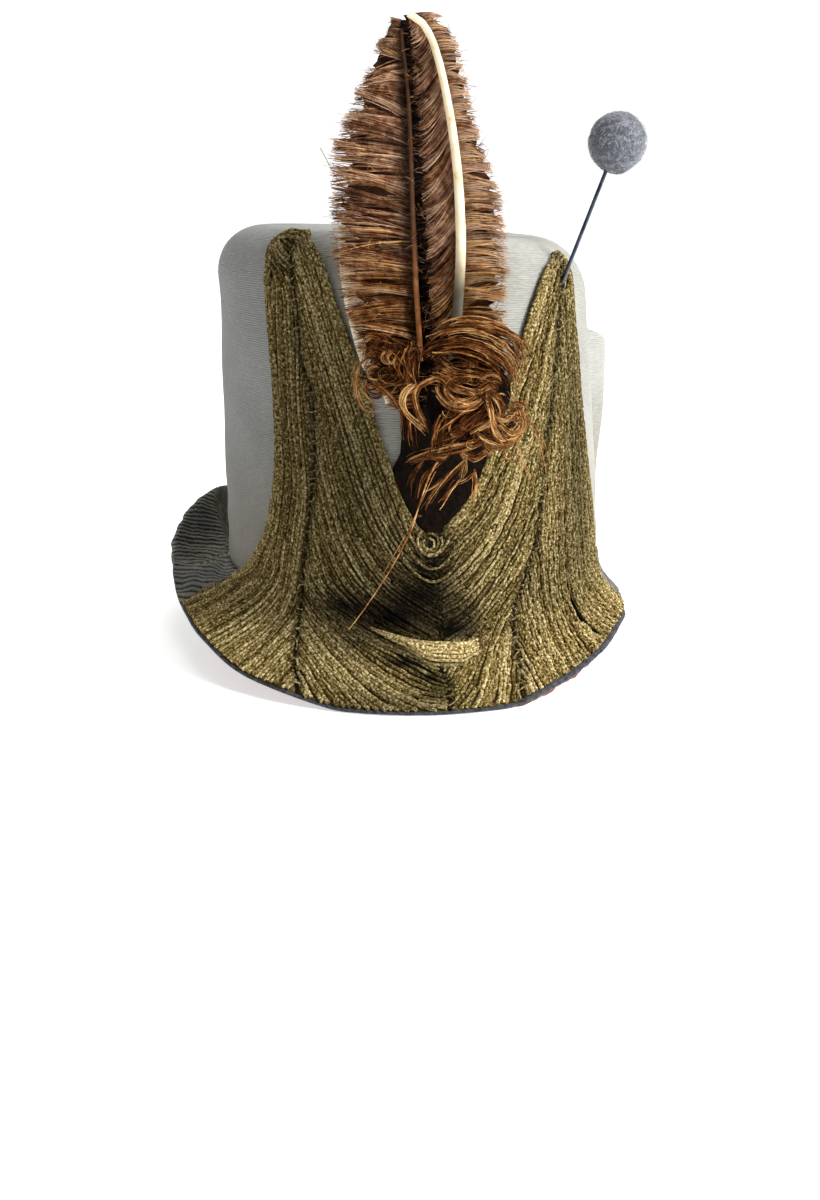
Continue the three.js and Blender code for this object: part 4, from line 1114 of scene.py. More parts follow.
# Painted shadow: near-black strands along the tuck's slit and along the slit near the right end.
def slitShadows():  # the dark lines of the tuck's slit and of the slit near the right end
    share = np.linspace(0, 1, 40)
    line = np.array(tuckLook["slit"])
    angles, ups = (np.interp(share, np.linspace(0, 1, len(line)), line[:, n]) for n in (0, 1))
    inner = clothPoint(angles, ups, yarnLevel + slitLook["lift"])
    ups = np.linspace(*slitLook["outer"], 40)
    outer = clothPoint(slitAngle(ups), ups, yarnLevel + slitLook["outerLift"])
    return [
        (inner, slitLook["width"] * np.sin(0.2 + share * 2.8), 0.1, 0.02),
        (outer, slitLook["outerWidth"] * np.sin(np.linspace(0.3, 2.9, 40)), 0.1, 0.02),
    ]


def seamRows(dice):
    strands = [strand for seam in seams for strand in seamLoops(dice, seam)]
    strands += [seamShadow(seam) for seam in seams]
    return strands + whorlStrands(dice) + slitShadows()


def tongueEdges(dice):  # three rows that follow each tongue's outline, over its tip
    strands = []
    for tongue, foot, low in ((leftTongue, -0.3, 0.14), (rightTongue, -0.2, 0.16)):
        outer = np.linspace(toPath(foot), toPath(tongue[0]["up"]), 90)
        inner = np.linspace(toPath(tongue[0]["up"]), toPath(low), 80)
        line = np.concatenate([
            np.stack([readTable(tongue, "up", fromPath(outer), "outer") * cordedLook["degree"], outer], -1),
            np.stack([readTable(tongue, "up", fromPath(inner), "inner") * cordedLook["degree"], inner], -1),
        ])
        line = resample(line, 1.0)
        for _ in range(3):
            line[2:-2] = (line[:-4] + line[1:-3] + line[2:-2] + line[3:-1] + line[4:]) / 5
        line = resample(line, 0.8)
        along = np.gradient(line, axis=0)
        along /= np.linalg.norm(along, axis=1)[:, None]
        inwards = np.stack([along[:, 1], -along[:, 0]], -1) * (1 if tongue is leftTongue else -1)
        for inset, lift in ((0.35, 0.0), (1.5, 0.35), (2.7, 0.3)):
            part = line + inwards * inset
            ups = fromPath(part[:, 1])
            angles = part[:, 0] / cordedLook["degree"]
            bob = np.sin(np.cumsum(dice.normal(0.5, 0.3, len(part))))
            depth = yarnLevel + cordedLook["yarnWidth"] * 0.35 + lift + 0.12 * bob
            width = cordedLook["yarnWidth"] * dice.uniform(0.9, 1.05)
            strands.append((clothPoint(angles, ups, depth), width, dice.uniform(0.3, 0.7), clothShade(angles, ups)))
    return strands


def makeTrims():
    dice = np.random.default_rng(11)
    for name, rows, sides, grain, slub, wobble, seed in (
        ("tongueEdges", tongueEdges, 6, 700.0, 0.8, 0.0004, 9.0),
        ("centreTuck", tuckRows, 6, 600.0, 0.7, 0.0003, 1.0),
        ("seamLoops", seamRows, 5, 500.0, 0.5, 0.0008, 3.0),
    ):
        mesh = strandMesh(name, rows(dice), yarnCloth, sides=sides, grain=grain, slub=slub, wobble=wobble, seed=seed)
        finishPiece(name, [mesh], [])


makeTrims()
print("tuck and seam loops made")


# Back brim, binding and facing

gatherLook = {
    "pitch": 2.0,
    "fold": 0.5,
    "endGap": 14.0,  # how far its seen part ends from the front's ends, at the crown and at the edge
    "edgeGap": 0.5,
    "under": 8.0,  # degrees of it that go under the front's left end
    "underRight": 3.0,
    "sunk": 3.2,  # how far in the hidden ends lie
    "tuckedIn": 2.4,  # how far it lies in along the right side, and where
    "tuckedAt": (100, 62),
    "hollow": 2.4,  # how far it follows the crown's hollow at the left, and where
    "hollowAt": (268, 34),
    "rolledFrom": (222, 238),
    "rows": 34,
    "columns": 420,
    "flat": (0.41, 0.046),
    "tiltTop": -0.15,  # how the ribs slope on the rolled part, in the front view
    "tiltFoot": 0.5,
}


def stretchHump(angles, place):  # a hump at an angle, with its half width
    return hump((angles - place[0]) / place[1])


def makeBackBrim():
    look = gatherLook
    shares = np.linspace(0, 1, look["rows"])
    gap = np.degrees((look["endGap"] * (1 - shares) + look["edgeGap"] * shares) / hatShape["halfDepth"])
    start = readTable(rightTongue, "up", -shares, "outer") + gap
    end = 360 + readTable(leftTongue, "up", -shares, "outer") - gap
    reachUnder = look["under"] * smoothStep(0.1, 0.9, shares)
    begin = start - gap - look["underRight"]
    angles = begin[:, None] + (end + reachUnder - begin)[:, None] * np.linspace(0, 1, look["columns"])
    sunk = smoothStep(-2, 2, angles - end[:, None] - gap[:, None] + 1.5)
    sunk = sunk + smoothStep(2, -2, angles - start[:, None] + gap[:, None] - 1.5)
    base = brimPoint(backBrim, hatShape["backJoin"], angles, shares[:, None], 0)
    level = 0.95 * base[..., 2] + 0.31 * base[..., 1]
    highest = smoothStep(-10, 30, level)
    tilt = look["tiltFoot"] + (look["tiltTop"] - look["tiltFoot"]) * highest
    drift = 0.5 * np.sin(base[..., 2] * 0.35 + base[..., 0] * 0.5) + 0.6 * np.sin(base[..., 1] * 0.21)
    around = np.radians(angles) * (hatShape["halfWidth"] + shares[:, None] * hatShape["brimReach"]) + drift
    across = level - tilt * (base[..., 0] + 104) + 0.7 * drift
    rolled = smoothStep(*look["rolledFrom"], angles)
    phase = 2 * math.pi / look["pitch"] * (around * (1 - rolled) + across * rolled)
    grids = []
    for side in (1, 0):
        wave = look["fold"] * smoothStep(0, 0.3, shares)[:, None] * np.sin(phase / 4)
        wave = wave * (0.6 + 0.4 * np.sin(angles * 0.7))
        depth = hatShape["layGap"] + side * (hatShape["clothWall"] - 0.9) + wave + 0.45 - look["sunk"] * sunk
        depth = depth - look["hollow"] * stretchHump(angles, look["hollowAt"]) * smoothStep(0.5, 0, shares)[:, None]
        depth = depth - look["tuckedIn"] * stretchHump(angles, look["tuckedAt"])
        grid = brimPoint(backBrim, hatShape["backJoin"], angles, shares[:, None], depth)
        grid[..., 2] = np.maximum(grid[..., 2], -hatPlace[2])
        grids.append(grid)
    mesh = wallMesh("gatheredBrim", grids[0], grids[1], False, gatherCloth)
    mesh.attributes.new("phase", "FLOAT", "POINT").data.foreach_set("value", np.tile(phase.ravel(), 2))
    brim = finishPiece("gatheredBrim", [mesh], ["back_brim"])


bindingLook = {"ends": (-73.5, 68.5), "width": 1.3, "swell": 1.0, "swellAt": (4, 24, 54, 66)}


def makeBinding():
    start, end = bindingLook["ends"]
    angle = start + (end - start) * np.linspace(0, 1, 260)
    middle = hatShape["layGap"] + hatShape["clothWall"] / 2 + clothLift(angle, np.full_like(angle, -1.0))
    points = brimPoint(frontBrim, hatShape["frontJoin"], angle, np.ones_like(angle), middle - 0.5, 0.5)
    points[:, 2] = np.maximum(points[:, 2], -hatPlace[2] + 1.05)
    rise, full, fall, gone = bindingLook["swellAt"]
    swell = bindingLook["swell"] * smoothStep(rise, full, angle) * smoothStep(gone, fall, angle)
    width = bindingLook["width"] + swell
    mesh = strandMesh("brimBinding", [(points, width, 0.5, 1.0)], bindingCloth, sides=12, grain=240.0, slub=0.35,
                      wobble=0.0003)
    finishPiece("brimBinding", [mesh], ["brim_binding"])


def makeFacing():
    shares = np.concatenate([np.linspace(0.42, 1, 12), [1.0]])
    along = np.linspace(0, 1, 240)
    start = readTable(leftTongue, "up", -shares, "outer")[:, None] + 4
    end = readTable(rightTongue, "up", -shares, "outer")[:, None] - 4
    angles = start + (end - start) * along
    jagged = 1.5 + 0.4 * np.sin(angles * 0.9) + 0.35 * np.sin(angles * 2.3 + 1) * np.sin(angles * 0.7)
    shown = smoothStep(7, 15, angles) * smoothStep(39, 33, angles) * jagged
    past = np.where(np.arange(len(shares)) < len(shares) - 1, 0, 1)[:, None] * shown
    lift = np.minimum(0, clothLift(angles, -shares[:, None])) * 1.3
    grids = []
    for side in (0, 1):
        grid = brimPoint(frontBrim, hatShape["frontJoin"], angles, shares[:, None], lift - 1.2 * side, past)
        grid[..., 2] = np.maximum(grid[..., 2], -hatPlace[2] + 0.1)
        grids.append(grid)
    mesh = wallMesh("brimFacing", grids[0], grids[1], False, facingCloth)
    facing = finishPiece("brimFacing", [mesh], ["brim_facing"])


makeBackBrim()
makeBinding()
makeFacing()
print("brim made")


# Plume

plumeShape = {
    "foot": 88, "height": 160, "width": 60,
    "backingDepth": 3.7, "vaneDepth": 5.4, "layer": 2.1, "vaneWall": 1.6, "sheetWall": 0.5,
    "barbWidth": 0.56, "strays": 0.012, "fuzz": 420, "fuzzWidth": 0.22,
}
leftQuillLine = namedRows(("up", "side", "bow"), [
    (0.27, -0.1, 0.0),
    (0.45, -0.125, 0.0),
    (0.65, -0.148, 0.01),
    (0.83, -0.165, 0.01),
    (0.965, -0.195, 0.01),
])
rightQuillLine = namedRows(("up", "side", "bow"), [
    (0.2, 0.09, 0.0),
    (0.34, 0.105, 0.03),
    (0.5, 0.125, 0.07),
    (0.65, 0.108, 0.07),
    (0.82, 0.045, 0.07),
    (0.93, -0.03, 0.07),
    (0.975, -0.1, 0.07),
    (0.99, -0.17, 0.07),
])
# The outlines of the two feathers, as shares of the plume's width, to each side of the hat's middle.
leftOutline = namedRows(("up", "left", "right"), [
    (0.16, -0.28, 0.02),
    (0.22, -0.385, 0.05),
    (0.28, -0.46, 0.07),
    (0.36, -0.53, 0.07),
    (0.45, -0.585, 0.06),
    (0.55, -0.635, 0.05),
    (0.65, -0.635, 0.03),
    (0.73, -0.6, 0.01),
    (0.81, -0.5, 0.0),
    (0.88, -0.41, -0.01),
    (0.94, -0.34, -0.04),
    (0.985, -0.26, -0.1),
])
rightOutline = namedRows(("up", "left", "right"), [
    (0.24, -0.02, 0.31),
    (0.34, -0.05, 0.41),
    (0.45, -0.07, 0.425),
    (0.55, -0.085, 0.41),
    (0.64, -0.1, 0.37),
    (0.73, -0.12, 0.275),
    (0.82, -0.145, 0.2),
    (0.9, -0.16, 0.15),
    (0.955, -0.18, 0.115),
    (0.99, -0.2, 0.02),
])


def plumePoint(up, side, depth):  # side in millimetres from the hat's middle
    height = plumeShape["foot"] + np.asarray(up) * plumeShape["height"]
    wall = aroundCrown(0, np.minimum(height, crownTop), depth)[..., 1]
    past = np.maximum(0, height - crownTop) / plumeShape["height"]
    return np.stack(np.broadcast_arrays(side, wall + past**2 * plumeShape["width"] * 0.5, height), -1)


def quillPoint(line, up, depth):
    side = readTable(line, "up", up, "side") * plumeShape["width"]
    bow = readTable(line, "up", up, "bow") * plumeShape["width"]
    return plumePoint(up, side, depth + bow)


# The barbs of each half feather. Its clumps lean, reach and stand out by their own amounts.
vaneHalves = {
    "leftOuter": {"side": "left", "count": 1700, "clumps": 84, "layer": 0, "lean": 0.2, "curl": 0.12, "fray": 0.09,
                  "rootShade": 0.16, "rootEnd": 0.42, "tones": (0.1, 1.05)},
    "leftInner": {"side": "right", "count": 320, "clumps": 60, "layer": 0, "lean": 0.3, "curl": 0.3, "fray": 0.35,
                  "rootShade": 0.08, "rootEnd": 3.0, "tones": (0.0, 0.35)},
    "rightInner": {"side": "left", "count": 1050, "clumps": 90, "layer": 1, "lean": -1.8, "curl": -0.6, "fray": 0.25,
                   "rootShade": 0.85, "rootEnd": 0.4, "tones": (0.2, 1.05)},
    "rightOuter": {"side": "right", "count": 1050, "clumps": 75, "layer": 1, "lean": 0.22, "curl": 0.2, "fray": 0.1,
                   "rootShade": 0.7, "rootEnd": 0.4, "tones": (0.5, 1.25)},
}
rustEnd = 0.52  # below this height in the plume most barbs are the redder colour


# How much the clumps and single barbs differ.
barbLook = {
    "clumpLean": 0.13,
    "clumpReach": 0.035,
    "clumpFront": 0.9,
    "lean": 0.04,
    "crooked": 0.11,
    "taper": 0.72,
    "rust": 0.12,  # the share of the redder barbs above rustEnd, and how much more there are below it
    "rustBelow": 0.85,
}


def vaneBarbs(dice, line, outline, half):
    plain, rusty = [], []
    low, high = outline[0]["up"], outline[-1]["up"]
    places = np.sort(dice.uniform(low, high, half["clumps"]))
    leans = dice.normal(0, barbLook["clumpLean"], half["clumps"])
    reaches = 1 - np.abs(dice.normal(0, barbLook["clumpReach"], half["clumps"]))
    fronts = dice.normal(barbLook["clumpFront"], barbLook["clumpFront"], half["clumps"])
    clumpTones = dice.uniform(0, 1, half["clumps"])
    depth = plumeShape["vaneDepth"] + half["layer"] * plumeShape["layer"] + plumeShape["vaneWall"] / 2
    for n in range(half["count"]):
        up = low + (high - low) * (n + dice.uniform(0, 1)) / half["count"]
        k = int(np.argmin(np.abs(places - up + dice.normal(0, 0.004))))
        drawn = up + (places[k] - up) * dice.uniform(0.2, 0.9)
        root = quillPoint(line, up, depth)
        lean = half["lean"] + leans[k] + dice.normal(0, barbLook["lean"])
        edge = readTable(outline, "up", np.clip(drawn + lean * 0.06, low, high), half["side"]) * plumeShape["width"]
        reach = (edge - root[0]) * reaches[k] * dice.uniform(1 - half["fray"], 1.03)
        if dice.uniform() < plumeShape["strays"]:
            reach *= dice.uniform(1.04, 1.15)
        t = np.linspace(0, 1, 8)
        rise = abs(reach) * (lean * t - half["curl"] * t**2.2) + (drawn - up) * plumeShape["height"] * t**1.2
        front = (fronts[k] + dice.uniform(-0.6, 0.9)) * np.sin(np.pi * np.minimum(t * 0.9, 1))
        front += dice.normal(0, 0.35) * t**2
        points = np.stack([root[0] + reach * t, root[1] - front, root[2] + rise], -1)
        points += np.cumsum(dice.normal(0, barbLook["crooked"], points.shape), axis=0) * t[:, None]
        width = plumeShape["barbWidth"] * (1 - barbLook["taper"] * t**1.5) * dice.uniform(0.65, 1.25)
        # Painted shade: barbs are darker near the quill, and clumps that lie further back are darker.
        shade = half["rootShade"] + (1 - half["rootShade"]) * smoothStep(0, half["rootEnd"], t)
        shade = shade * dice.uniform(0.7, 1.12) * (0.72 + 0.28 * smoothStep(-0.6, 1.2, fronts[k]))
        tone = half["tones"][0] + (half["tones"][1] - half["tones"][0]) * (0.4 * clumpTones[k] + 0.6 * dice.uniform())
        redder = barbLook["rust"] + barbLook["rustBelow"] * smoothStep(rustEnd + 0.12, rustEnd - 0.2, up)
        group = rusty if dice.uniform() < redder else plain
        group.append((points, width, tone, shade))
    return plain, rusty


def vaneFuzz(dice, outline, layer):  # short loose hairs over a whole feather
    strands = []
    low, high = outline[0]["up"], outline[-1]["up"]
    for _ in range(plumeShape["fuzz"]):
        up = dice.uniform(low, high * 0.97)
        left = readTable(outline, "up", up, "left")
        right = readTable(outline, "up", up, "right")
        across = dice.choice([dice.uniform(0.05, 0.5), dice.uniform(0.75, 0.92)])
        side = (left + (right - left) * across) * plumeShape["width"]
        start = plumePoint(up, side, plumeShape["vaneDepth"] + (layer + 1) * plumeShape["layer"] + dice.uniform(0, 1.4))
        turn = dice.normal(2.9, 0.5) if side < 0.1 * plumeShape["width"] else dice.normal(0.3, 0.5)
        size, bend = dice.uniform(2, 5.5), dice.normal(0, 0.8)
        t = np.linspace(0, 1, 5)
        heading = turn + bend * t
        points = start + np.stack([np.cumsum(np.cos(heading)), -np.sin(t * 2.5) * 2.0, np.cumsum(np.sin(heading))],
                                  -1) * size / 5
        strands.append((points, plumeShape["fuzzWidth"] * (1 - 0.6 * t), dice.uniform(0.2, 0.9), 0.9))
    return strands


def vaneSheet(name, line, outline, layer, thin):
    ups = np.linspace(outline[0]["up"], outline[-1]["up"], 90)
    quill = quillPoint(line, ups, 0)[:, 0]
    left = readTable(outline, "up", ups, "left") * plumeShape["width"]
    right = readTable(outline, "up", ups, "right") * plumeShape["width"]
    ragged = 0.9 + 0.07 * np.sin(ups * 170) + 0.05 * np.sin(ups * 311 + 1)
    left = quill + (left - quill) * thin * ragged
    right = quill + (right - quill) * thin * ragged[::-1]
    across = np.linspace(0, 1, 24)
    side = left[:, None] + (right - left)[:, None] * across
    grids = []
    for face in (1, 0):
        bow = readTable(line, "up", ups, "bow")[:, None] * plumeShape["width"]
        depth = plumeShape["vaneDepth"] + layer * plumeShape["layer"] + bow + face * plumeShape["sheetWall"]
        ripple = 0.35 * np.sin(ups[:, None] * 130 + across * 3)
        grids.append(plumePoint(ups[:, None], side, depth + ripple))
    # A dark sheet behind the barbs, painted shade that fills the gaps between them.
    return wallMesh(name, grids[0], grids[1], False, shadedBarbGround)


def makeVane(name, sideNames, line, outline, layer, thin, node, seed):
    dice = np.random.default_rng(seed)
    halves = [vaneBarbs(dice, line, outline, vaneHalves[side]) for side in sideNames]
    plain = [strand for half in halves for strand in half[0]]
    rusty = [strand for half in halves for strand in half[1]]
    fuzz = vaneFuzz(dice, outline, layer)
    parts = [
        vaneSheet(name + "Sheet", line, outline, layer, thin),
        strandMesh(name + "Plain", plain + fuzz[::2], featherBarb, sides=3, grain=90.0, slub=0.3, wobble=0.0007),
        strandMesh(name + "Rusty", rusty + fuzz[1::2], rustBarb, sides=3, grain=90.0, slub=0.3, wobble=0.0009),
    ]
    finishPiece(name, parts, [node])


# The quills: width, how bright each is at its foot and top, and where along it that changes.
quills = namedRows(("name", "node", "slot", "material", "line", "layer", "width", "tones", "turn"), [
    ("leftQuill", "left_quill", "brown_quill", brownQuill, leftQuillLine, 0, 2.1, (1.25, 0.3), (0.1, 0.5)),
    ("rightQuill", "right_quill", "cream_quill", creamQuill, rightQuillLine, 1, 4.2, (0.12, 1.05), (0.27, 0.44)),
])


def makeQuills():
    share = np.linspace(0, 1, 90)
    for quill in quills:
        foot, top = (quill["line"][row]["up"] for row in (0, -1))
        depth = plumeShape["vaneDepth"] + (quill["layer"] + 1) * plumeShape["layer"] + quill["width"] * 0.5
        points = quillPoint(quill["line"], foot + (top - foot) * share, depth)
        dim, bright = quill["tones"]
        shade = dim + (bright - dim) * smoothStep(*quill["turn"], share)
        mesh = strandMesh(quill["name"], [(points, quill["width"] * (1 - 0.45 * share**1.3), 0.5, shade)],
                          quill["material"], sides=14, grain=60.0, slub=0.12, wobble=0.0004)
        finishPiece(quill["name"], [mesh], [quill["node"]])


leafLook = {
    "wall": 1.1,
    "edges": namedRows(("up", "left", "right"), [
        (0.17, -17.5, -2),
        (0.24, -24.5, 4),
        (0.33, -28.6, 8),
        (0.44, -31.6, 12),
        (0.54, -32.4, 12),
        (0.62, -28.5, 6),
    ]),
}


def makeBacking():
    ups = np.linspace(leafLook["edges"][0]["up"], leafLook["edges"][-1]["up"], 60)
    left, right = (readTable(leafLook["edges"], "up", ups, column)[:, None] for column in ("left", "right"))
    side = left + (right - left) * np.linspace(0, 1, 30)
    heights = (plumeShape["foot"] + ups * plumeShape["height"])[:, None]
    angles = np.degrees(np.arcsin(side / hatShape["halfWidth"]))
    grids = []
    for face in (1, 0):
        grid = aroundCrown(angles, np.minimum(heights, crownTop), plumeShape["backingDepth"] + face * leafLook["wall"])
        grid[..., 2] = heights
        grids.append(grid)
    mesh = wallMesh("plumeLeaf", grids[0], grids[1], False, creamLeaf)
    finishPiece("plumeLeaf", [mesh], ["plume_backing"])


padRows = namedRows(("up", "left", "right"), [
    (0.14, -0.9, -0.2),
    (0.18, -5.5, 2.6),
    (0.26, -9.4, 9.2),
    (0.34, -11.0, 13.2),
    (0.4, -8.8, 15.2),
    (0.58, -7.6, 17.0),
])


def makePad():
    ups = np.linspace(padRows[0]["up"], padRows[-1]["up"], 60)
    across = np.linspace(-1, 1, 40)
    left, right = (readTable(padRows, "up", ups, column)[:, None] for column in ("left", "right"))
    angles = left + (right - left) * (across + 1) / 2
    heights = (hatShape["frontJoin"] + ups * (crownTop - hatShape["frontJoin"]))[:, None]
    grids = []
    for face in (1, 0):
        lump = 0.35 * np.sin(angles * 1.7) * np.sin(heights * 0.6) * face
        depth = hatShape["layGap"] + face * (1.7 + 0.9 * (1 - across**2)) + lump
        grids.append(crownPoint(angles, heights, depth))
    # The pad is near black, partly as painted deep shade at the plume's foot.
    mesh = wallMesh("plumePad", grids[0], grids[1], False, shadowFelt)
    finishPiece("plumePad", [mesh], ["plume_pad"])


makeVane("leftVane", ("leftOuter", "leftInner"), leftQuillLine, leftOutline, 0, 0.84, "left_vane", 23)
makeVane("rightVane", ("rightInner", "rightOuter"), rightQuillLine, rightOutline, 1, 0.82, "right_vane", 24)
makeQuills()
makeBacking()
makePad()
print("feathers made")


# Curled tuft: each lock is a bundle of barbs along a path, in millimetres from the tuft's middle.

tuftCentre = np.array([8.4, -115.5, 115.2])
tuftLook = {
    "crowd": 1.35,  # how many strands a lock has, as a share of its count
    "lockWidth": 0.44,
    "curlWidth": 0.36,
    # The core is near black: painted shade seen between the locks.
    "core": (14.5, 4.0, 14.5),  # half widths of the dark core, and its middle from the tuft's
    "coreMiddle": (0.5, -1.5, 4.5),
}
# Locks: points along each, as millimetres from the tuft's middle to the right, to the front and up.
tuftLocks = namedRows(("path", "count", "spread", "tones", "thin"), [
    # the smooth swoops over the top
    ([(-15.7, 3, 20.3), (-13.5, 7, 23), (-8.9, 10, 24.8), (-3.5, 11, 25.3), (2.3, 10, 23.6), (7.2, 9, 20.2),
      (11.2, 8, 15.9), (13.9, 7, 11.1)], 66, 2.0, (0.0, 0.8), 1),
    ([(-13.5, 4, 23.1), (-8.6, 8, 26.4), (-2.3, 9, 27.1), (4.5, 8, 25.1), (10.3, 7, 21.7), (14.4, 6, 16.9),
      (16, 6, 12.3), (15.4, 6, 8.6)], 50, 1.7, (0.4, 1.1), 1),
    ([(-10.3, 1, 27.3), (-3.2, 3, 29.7), (4.3, 3, 29.6), (12.1, 2, 27.1), (18.1, 1, 23.2), (20.2, 1, 19),
      (18.2, 2, 15)], 44, 2.0, (0.4, 1.0), 1),
    ([(-6.5, 7, 22), (-2, 8, 21.1), (2.5, 9, 18.9), (6.8, 9, 16.1), (10.4, 8, 12.7),
      (12.5, 7, 9.2)], 28, 1.4, (0.0, 0.6), 1),
    # the nest
    ([(-15, 8, 13.8), (-10.8, 11, 13.4), (-7.6, 12, 11), (-3.6, 13, 9.7), (1.1, 13, 8.9), (5.9, 12, 10.8),
      (10, 10, 11.6)], 28, 1.1, (0.5, 1.15), 1),
    ([(-11.1, 7, 18.4), (-7.2, 9, 15.8), (-2.4, 11, 15.8), (2.2, 11, 14.6), (8.1, 10, 12.5)], 34, 1.6, (0.3, 1.0), 1),
    ([(-11.9, 9, 11.3), (-11.2, 11, 7.5), (-8.2, 13, 4.5), (-3.7, 14, 3.6), (1.1, 13, 4.8),
      (4.7, 11, 7.6)], 22, 0.9, (0.4, 1.1), 1),
    ([(-9.5, 9, 11.8), (-9, 12, 9), (-6.5, 14, 6.5), (-2.8, 14, 5.7), (1.1, 13, 7.1),
      (3.3, 11, 9.5)], 16, 0.8, (0.4, 1.1), 1),
    ([(4.3, 10, 2.6), (-0.5, 10, -0.9), (-5.9, 9, -5.2), (-11.1, 7, -10.3)], 60, 3.0, (0.1, 0.8), 1),
    ([(-8.6, 9, 0.8), (-10.5, 9, -3.8), (-11.1, 8, -8.9), (-13.2, 6, -12.6)], 30, 1.9, (0.1, 0.9), 1),
    ([(5.5, 11, -6.8), (-0.2, 11, -9.1), (-5.5, 9, -10.8), (-10.9, 7, -12.4), (-17.2, 4, -14.3),
      (-22.7, 2, -17.3)], 20, 1.2, (0.3, 1.0), 1),
    # strands to the left of the dark hollow
    ([(-9.5, 9, 14.1), (-14.3, 10, 12.9), (-17.9, 9, 11.2), (-19.6, 8, 7.2), (-17.7, 8, 0.6),
      (-13.8, 7, -7.6)], 14, 0.7, (0.5, 1.1), 1),
    ([(-18.7, 8, 11.3), (-21.5, 8, 9.5), (-23.2, 7, 6.6), (-22.8, 7, 2.4), (-19.5, 7, -1.8),
      (-15.6, 6, -5.9)], 12, 0.7, (0.6, 1.15), 1),
    ([(-23.5, 5, 3.1), (-22.8, 5, -2.6), (-23.5, 3, -8.6)], 9, 0.6, (0.2, 0.7), 1),
    ([(-21.7, 6, 0.4), (-20.7, 5, -6.4), (-19, 3, -13)], 11, 0.8, (0.2, 0.9), 1),
    ([(-31.7, 3, 9.9), (-28.2, 5, 7.3), (-25, 6, 2.8), (-23.5, 5, -0.2)], 10, 0.6, (0.3, 0.9), 1),
    # the knot at the right
    ([(5.2, 11, 9), (6.3, 13, 2.8), (7.9, 13, -3.2), (11.5, 12, -7.7), (15.9, 11, -6.6), (18.4, 10, -2.6),
      (17, 9, 2.9), (14.3, 8, 7.9)], 26, 1.0, (0.6, 1.2), 1),
    ([(7.3, 13, -0.9), (10.5, 14, -3.1), (14.1, 13, -5.7), (17.1, 12, -3.2), (15.6, 12, -0.3), (12, 13, -0.5),
      (10.2, 13, -3.8)], 12, 0.5, (0.6, 1.2), 1),
    ([(-0.4, 12, -5.1), (5, 13, -2), (8.3, 13, -0.5), (12.1, 13, -1), (16.1, 11, 2.8)], 12, 0.5, (0.7, 1.2), 1),
    ([(5.6, 11, 9), (9.3, 12, 6.3), (10.8, 12, 1.7), (7.8, 13, 0)], 14, 0.9, (0.5, 1.1), 1),
    ([(1.5, 12, -5.2), (5.3, 12, -7.8), (10.3, 11, -9.6), (15.5, 9, -9.8)], 13, 0.7, (0.6, 1.2), 1),
    ([(-1.7, 9, -13.2), (2, 10, -14.3), (6.2, 10, -12.3), (9, 10, -9.5)], 14, 0.7, (0.4, 1.1), 1),
    ([(-0.3, 9, -10.4), (-2.7, 9, -12.7), (-1.3, 7, -16), (-2.7, 4, -24.4)], 9, 0.45, (0.7, 1.2), 1),
    # wisps over the dark pad
    ([(-15.4, 5, -15.1), (-18.1, 4, -19.1), (-20.4, 3, -24.1), (-20.8, 2, -29.3)], 3, 0.4, (0.4, 1.0), 1),
    ([(-6.8, 8, -13.3), (-12.7, 6, -18.8), (-16.3, 5, -23.8), (-18, 3, -32.1)], 7, 0.7, (0.2, 0.9), 1),
    ([(-2.9, 8, -16.8), (-8.3, 6, -21.9), (-12.8, 4, -29.5), (-15.5, 3, -34.6)], 7, 0.8, (0.4, 1.1), 1),
    ([(-3.5, 6, -23.5), (-7.6, 5, -28), (-11.2, 3, -34.2)], 4, 0.5, (0.4, 1.0), 1),
    ([(1.7, 6, -19.7), (2.8, 4, -25.5), (1.8, 3, -34.1)], 3, 0.3, (0.6, 1.1), 1),
    ([(2.3, 6, -20.2), (-1.9, 5, -23.7), (-5.1, 4, -25.8)], 3, 0.4, (0.4, 1.0), 1),
    ([(-9.6, 5, -23), (-13.3, 4, -26.1), (-16.3, 3, -28.2)], 3, 0.3, (0.6, 1.1), 1),
    # thin strays at the right
    ([(14.5, 7, 7.3), (20.1, 4, -0.8), (25.8, 1, -8.2), (30.2, -3, -16.9), (32, -5, -26.4)], 9, 1.1, (0.5, 1.1), 0.5),
    ([(17.3, 7, -9.8), (20.3, 3, -17.4), (25.6, -2, -28)], 5, 0.9, (0.5, 1.1), 0.45),
    ([(15.5, 6, 10.4), (23, 2, 13.9), (32, -3, 10.3)], 3, 0.8, (0.6, 1.1), 0.4),
    # the curly lump at the left
    ([(-27.2, -3, 22.5), (-33.3, -4, 21), (-37.5, -5, 16.8), (-38.5, -5, 11.2), (-37.1, -5, 5), (-33.3, -5, 1.6),
      (-28.7, -4, 2.2)], 11, 1.2, (0.6, 1.2), 0.6),
    ([(-28.8, -2, 17.1), (-32.9, -3, 14.7), (-35, -4, 9.9), (-33.4, -4, 5.6),
      (-30.1, -4, 3.6)], 9, 1.0, (0.5, 1.1), 0.6),
    ([(-33.4, -2, 23.6), (-27.6, 0, 21), (-23.5, 1, 16.4), (-24.4, 1, 11.8), (-29.5, 0, 10.4), (-32.7, -1, 13.5),
      (-29, 0, 16.9)], 34, 1.8, (0.1, 0.8), 1),
    ([(-19.7, 1, 22.8), (-21.4, 3, 17.6), (-20.2, 5, 12.8), (-18.4, 6, 11)], 34, 2.4, (0.1, 0.8), 1),
    ([(-34.5, -2, 11.6), (-30, 0, 10.4), (-25.4, 1, 10.9), (-20.9, 3, 12.5)], 24, 1.5, (0.3, 1.0), 1),
])
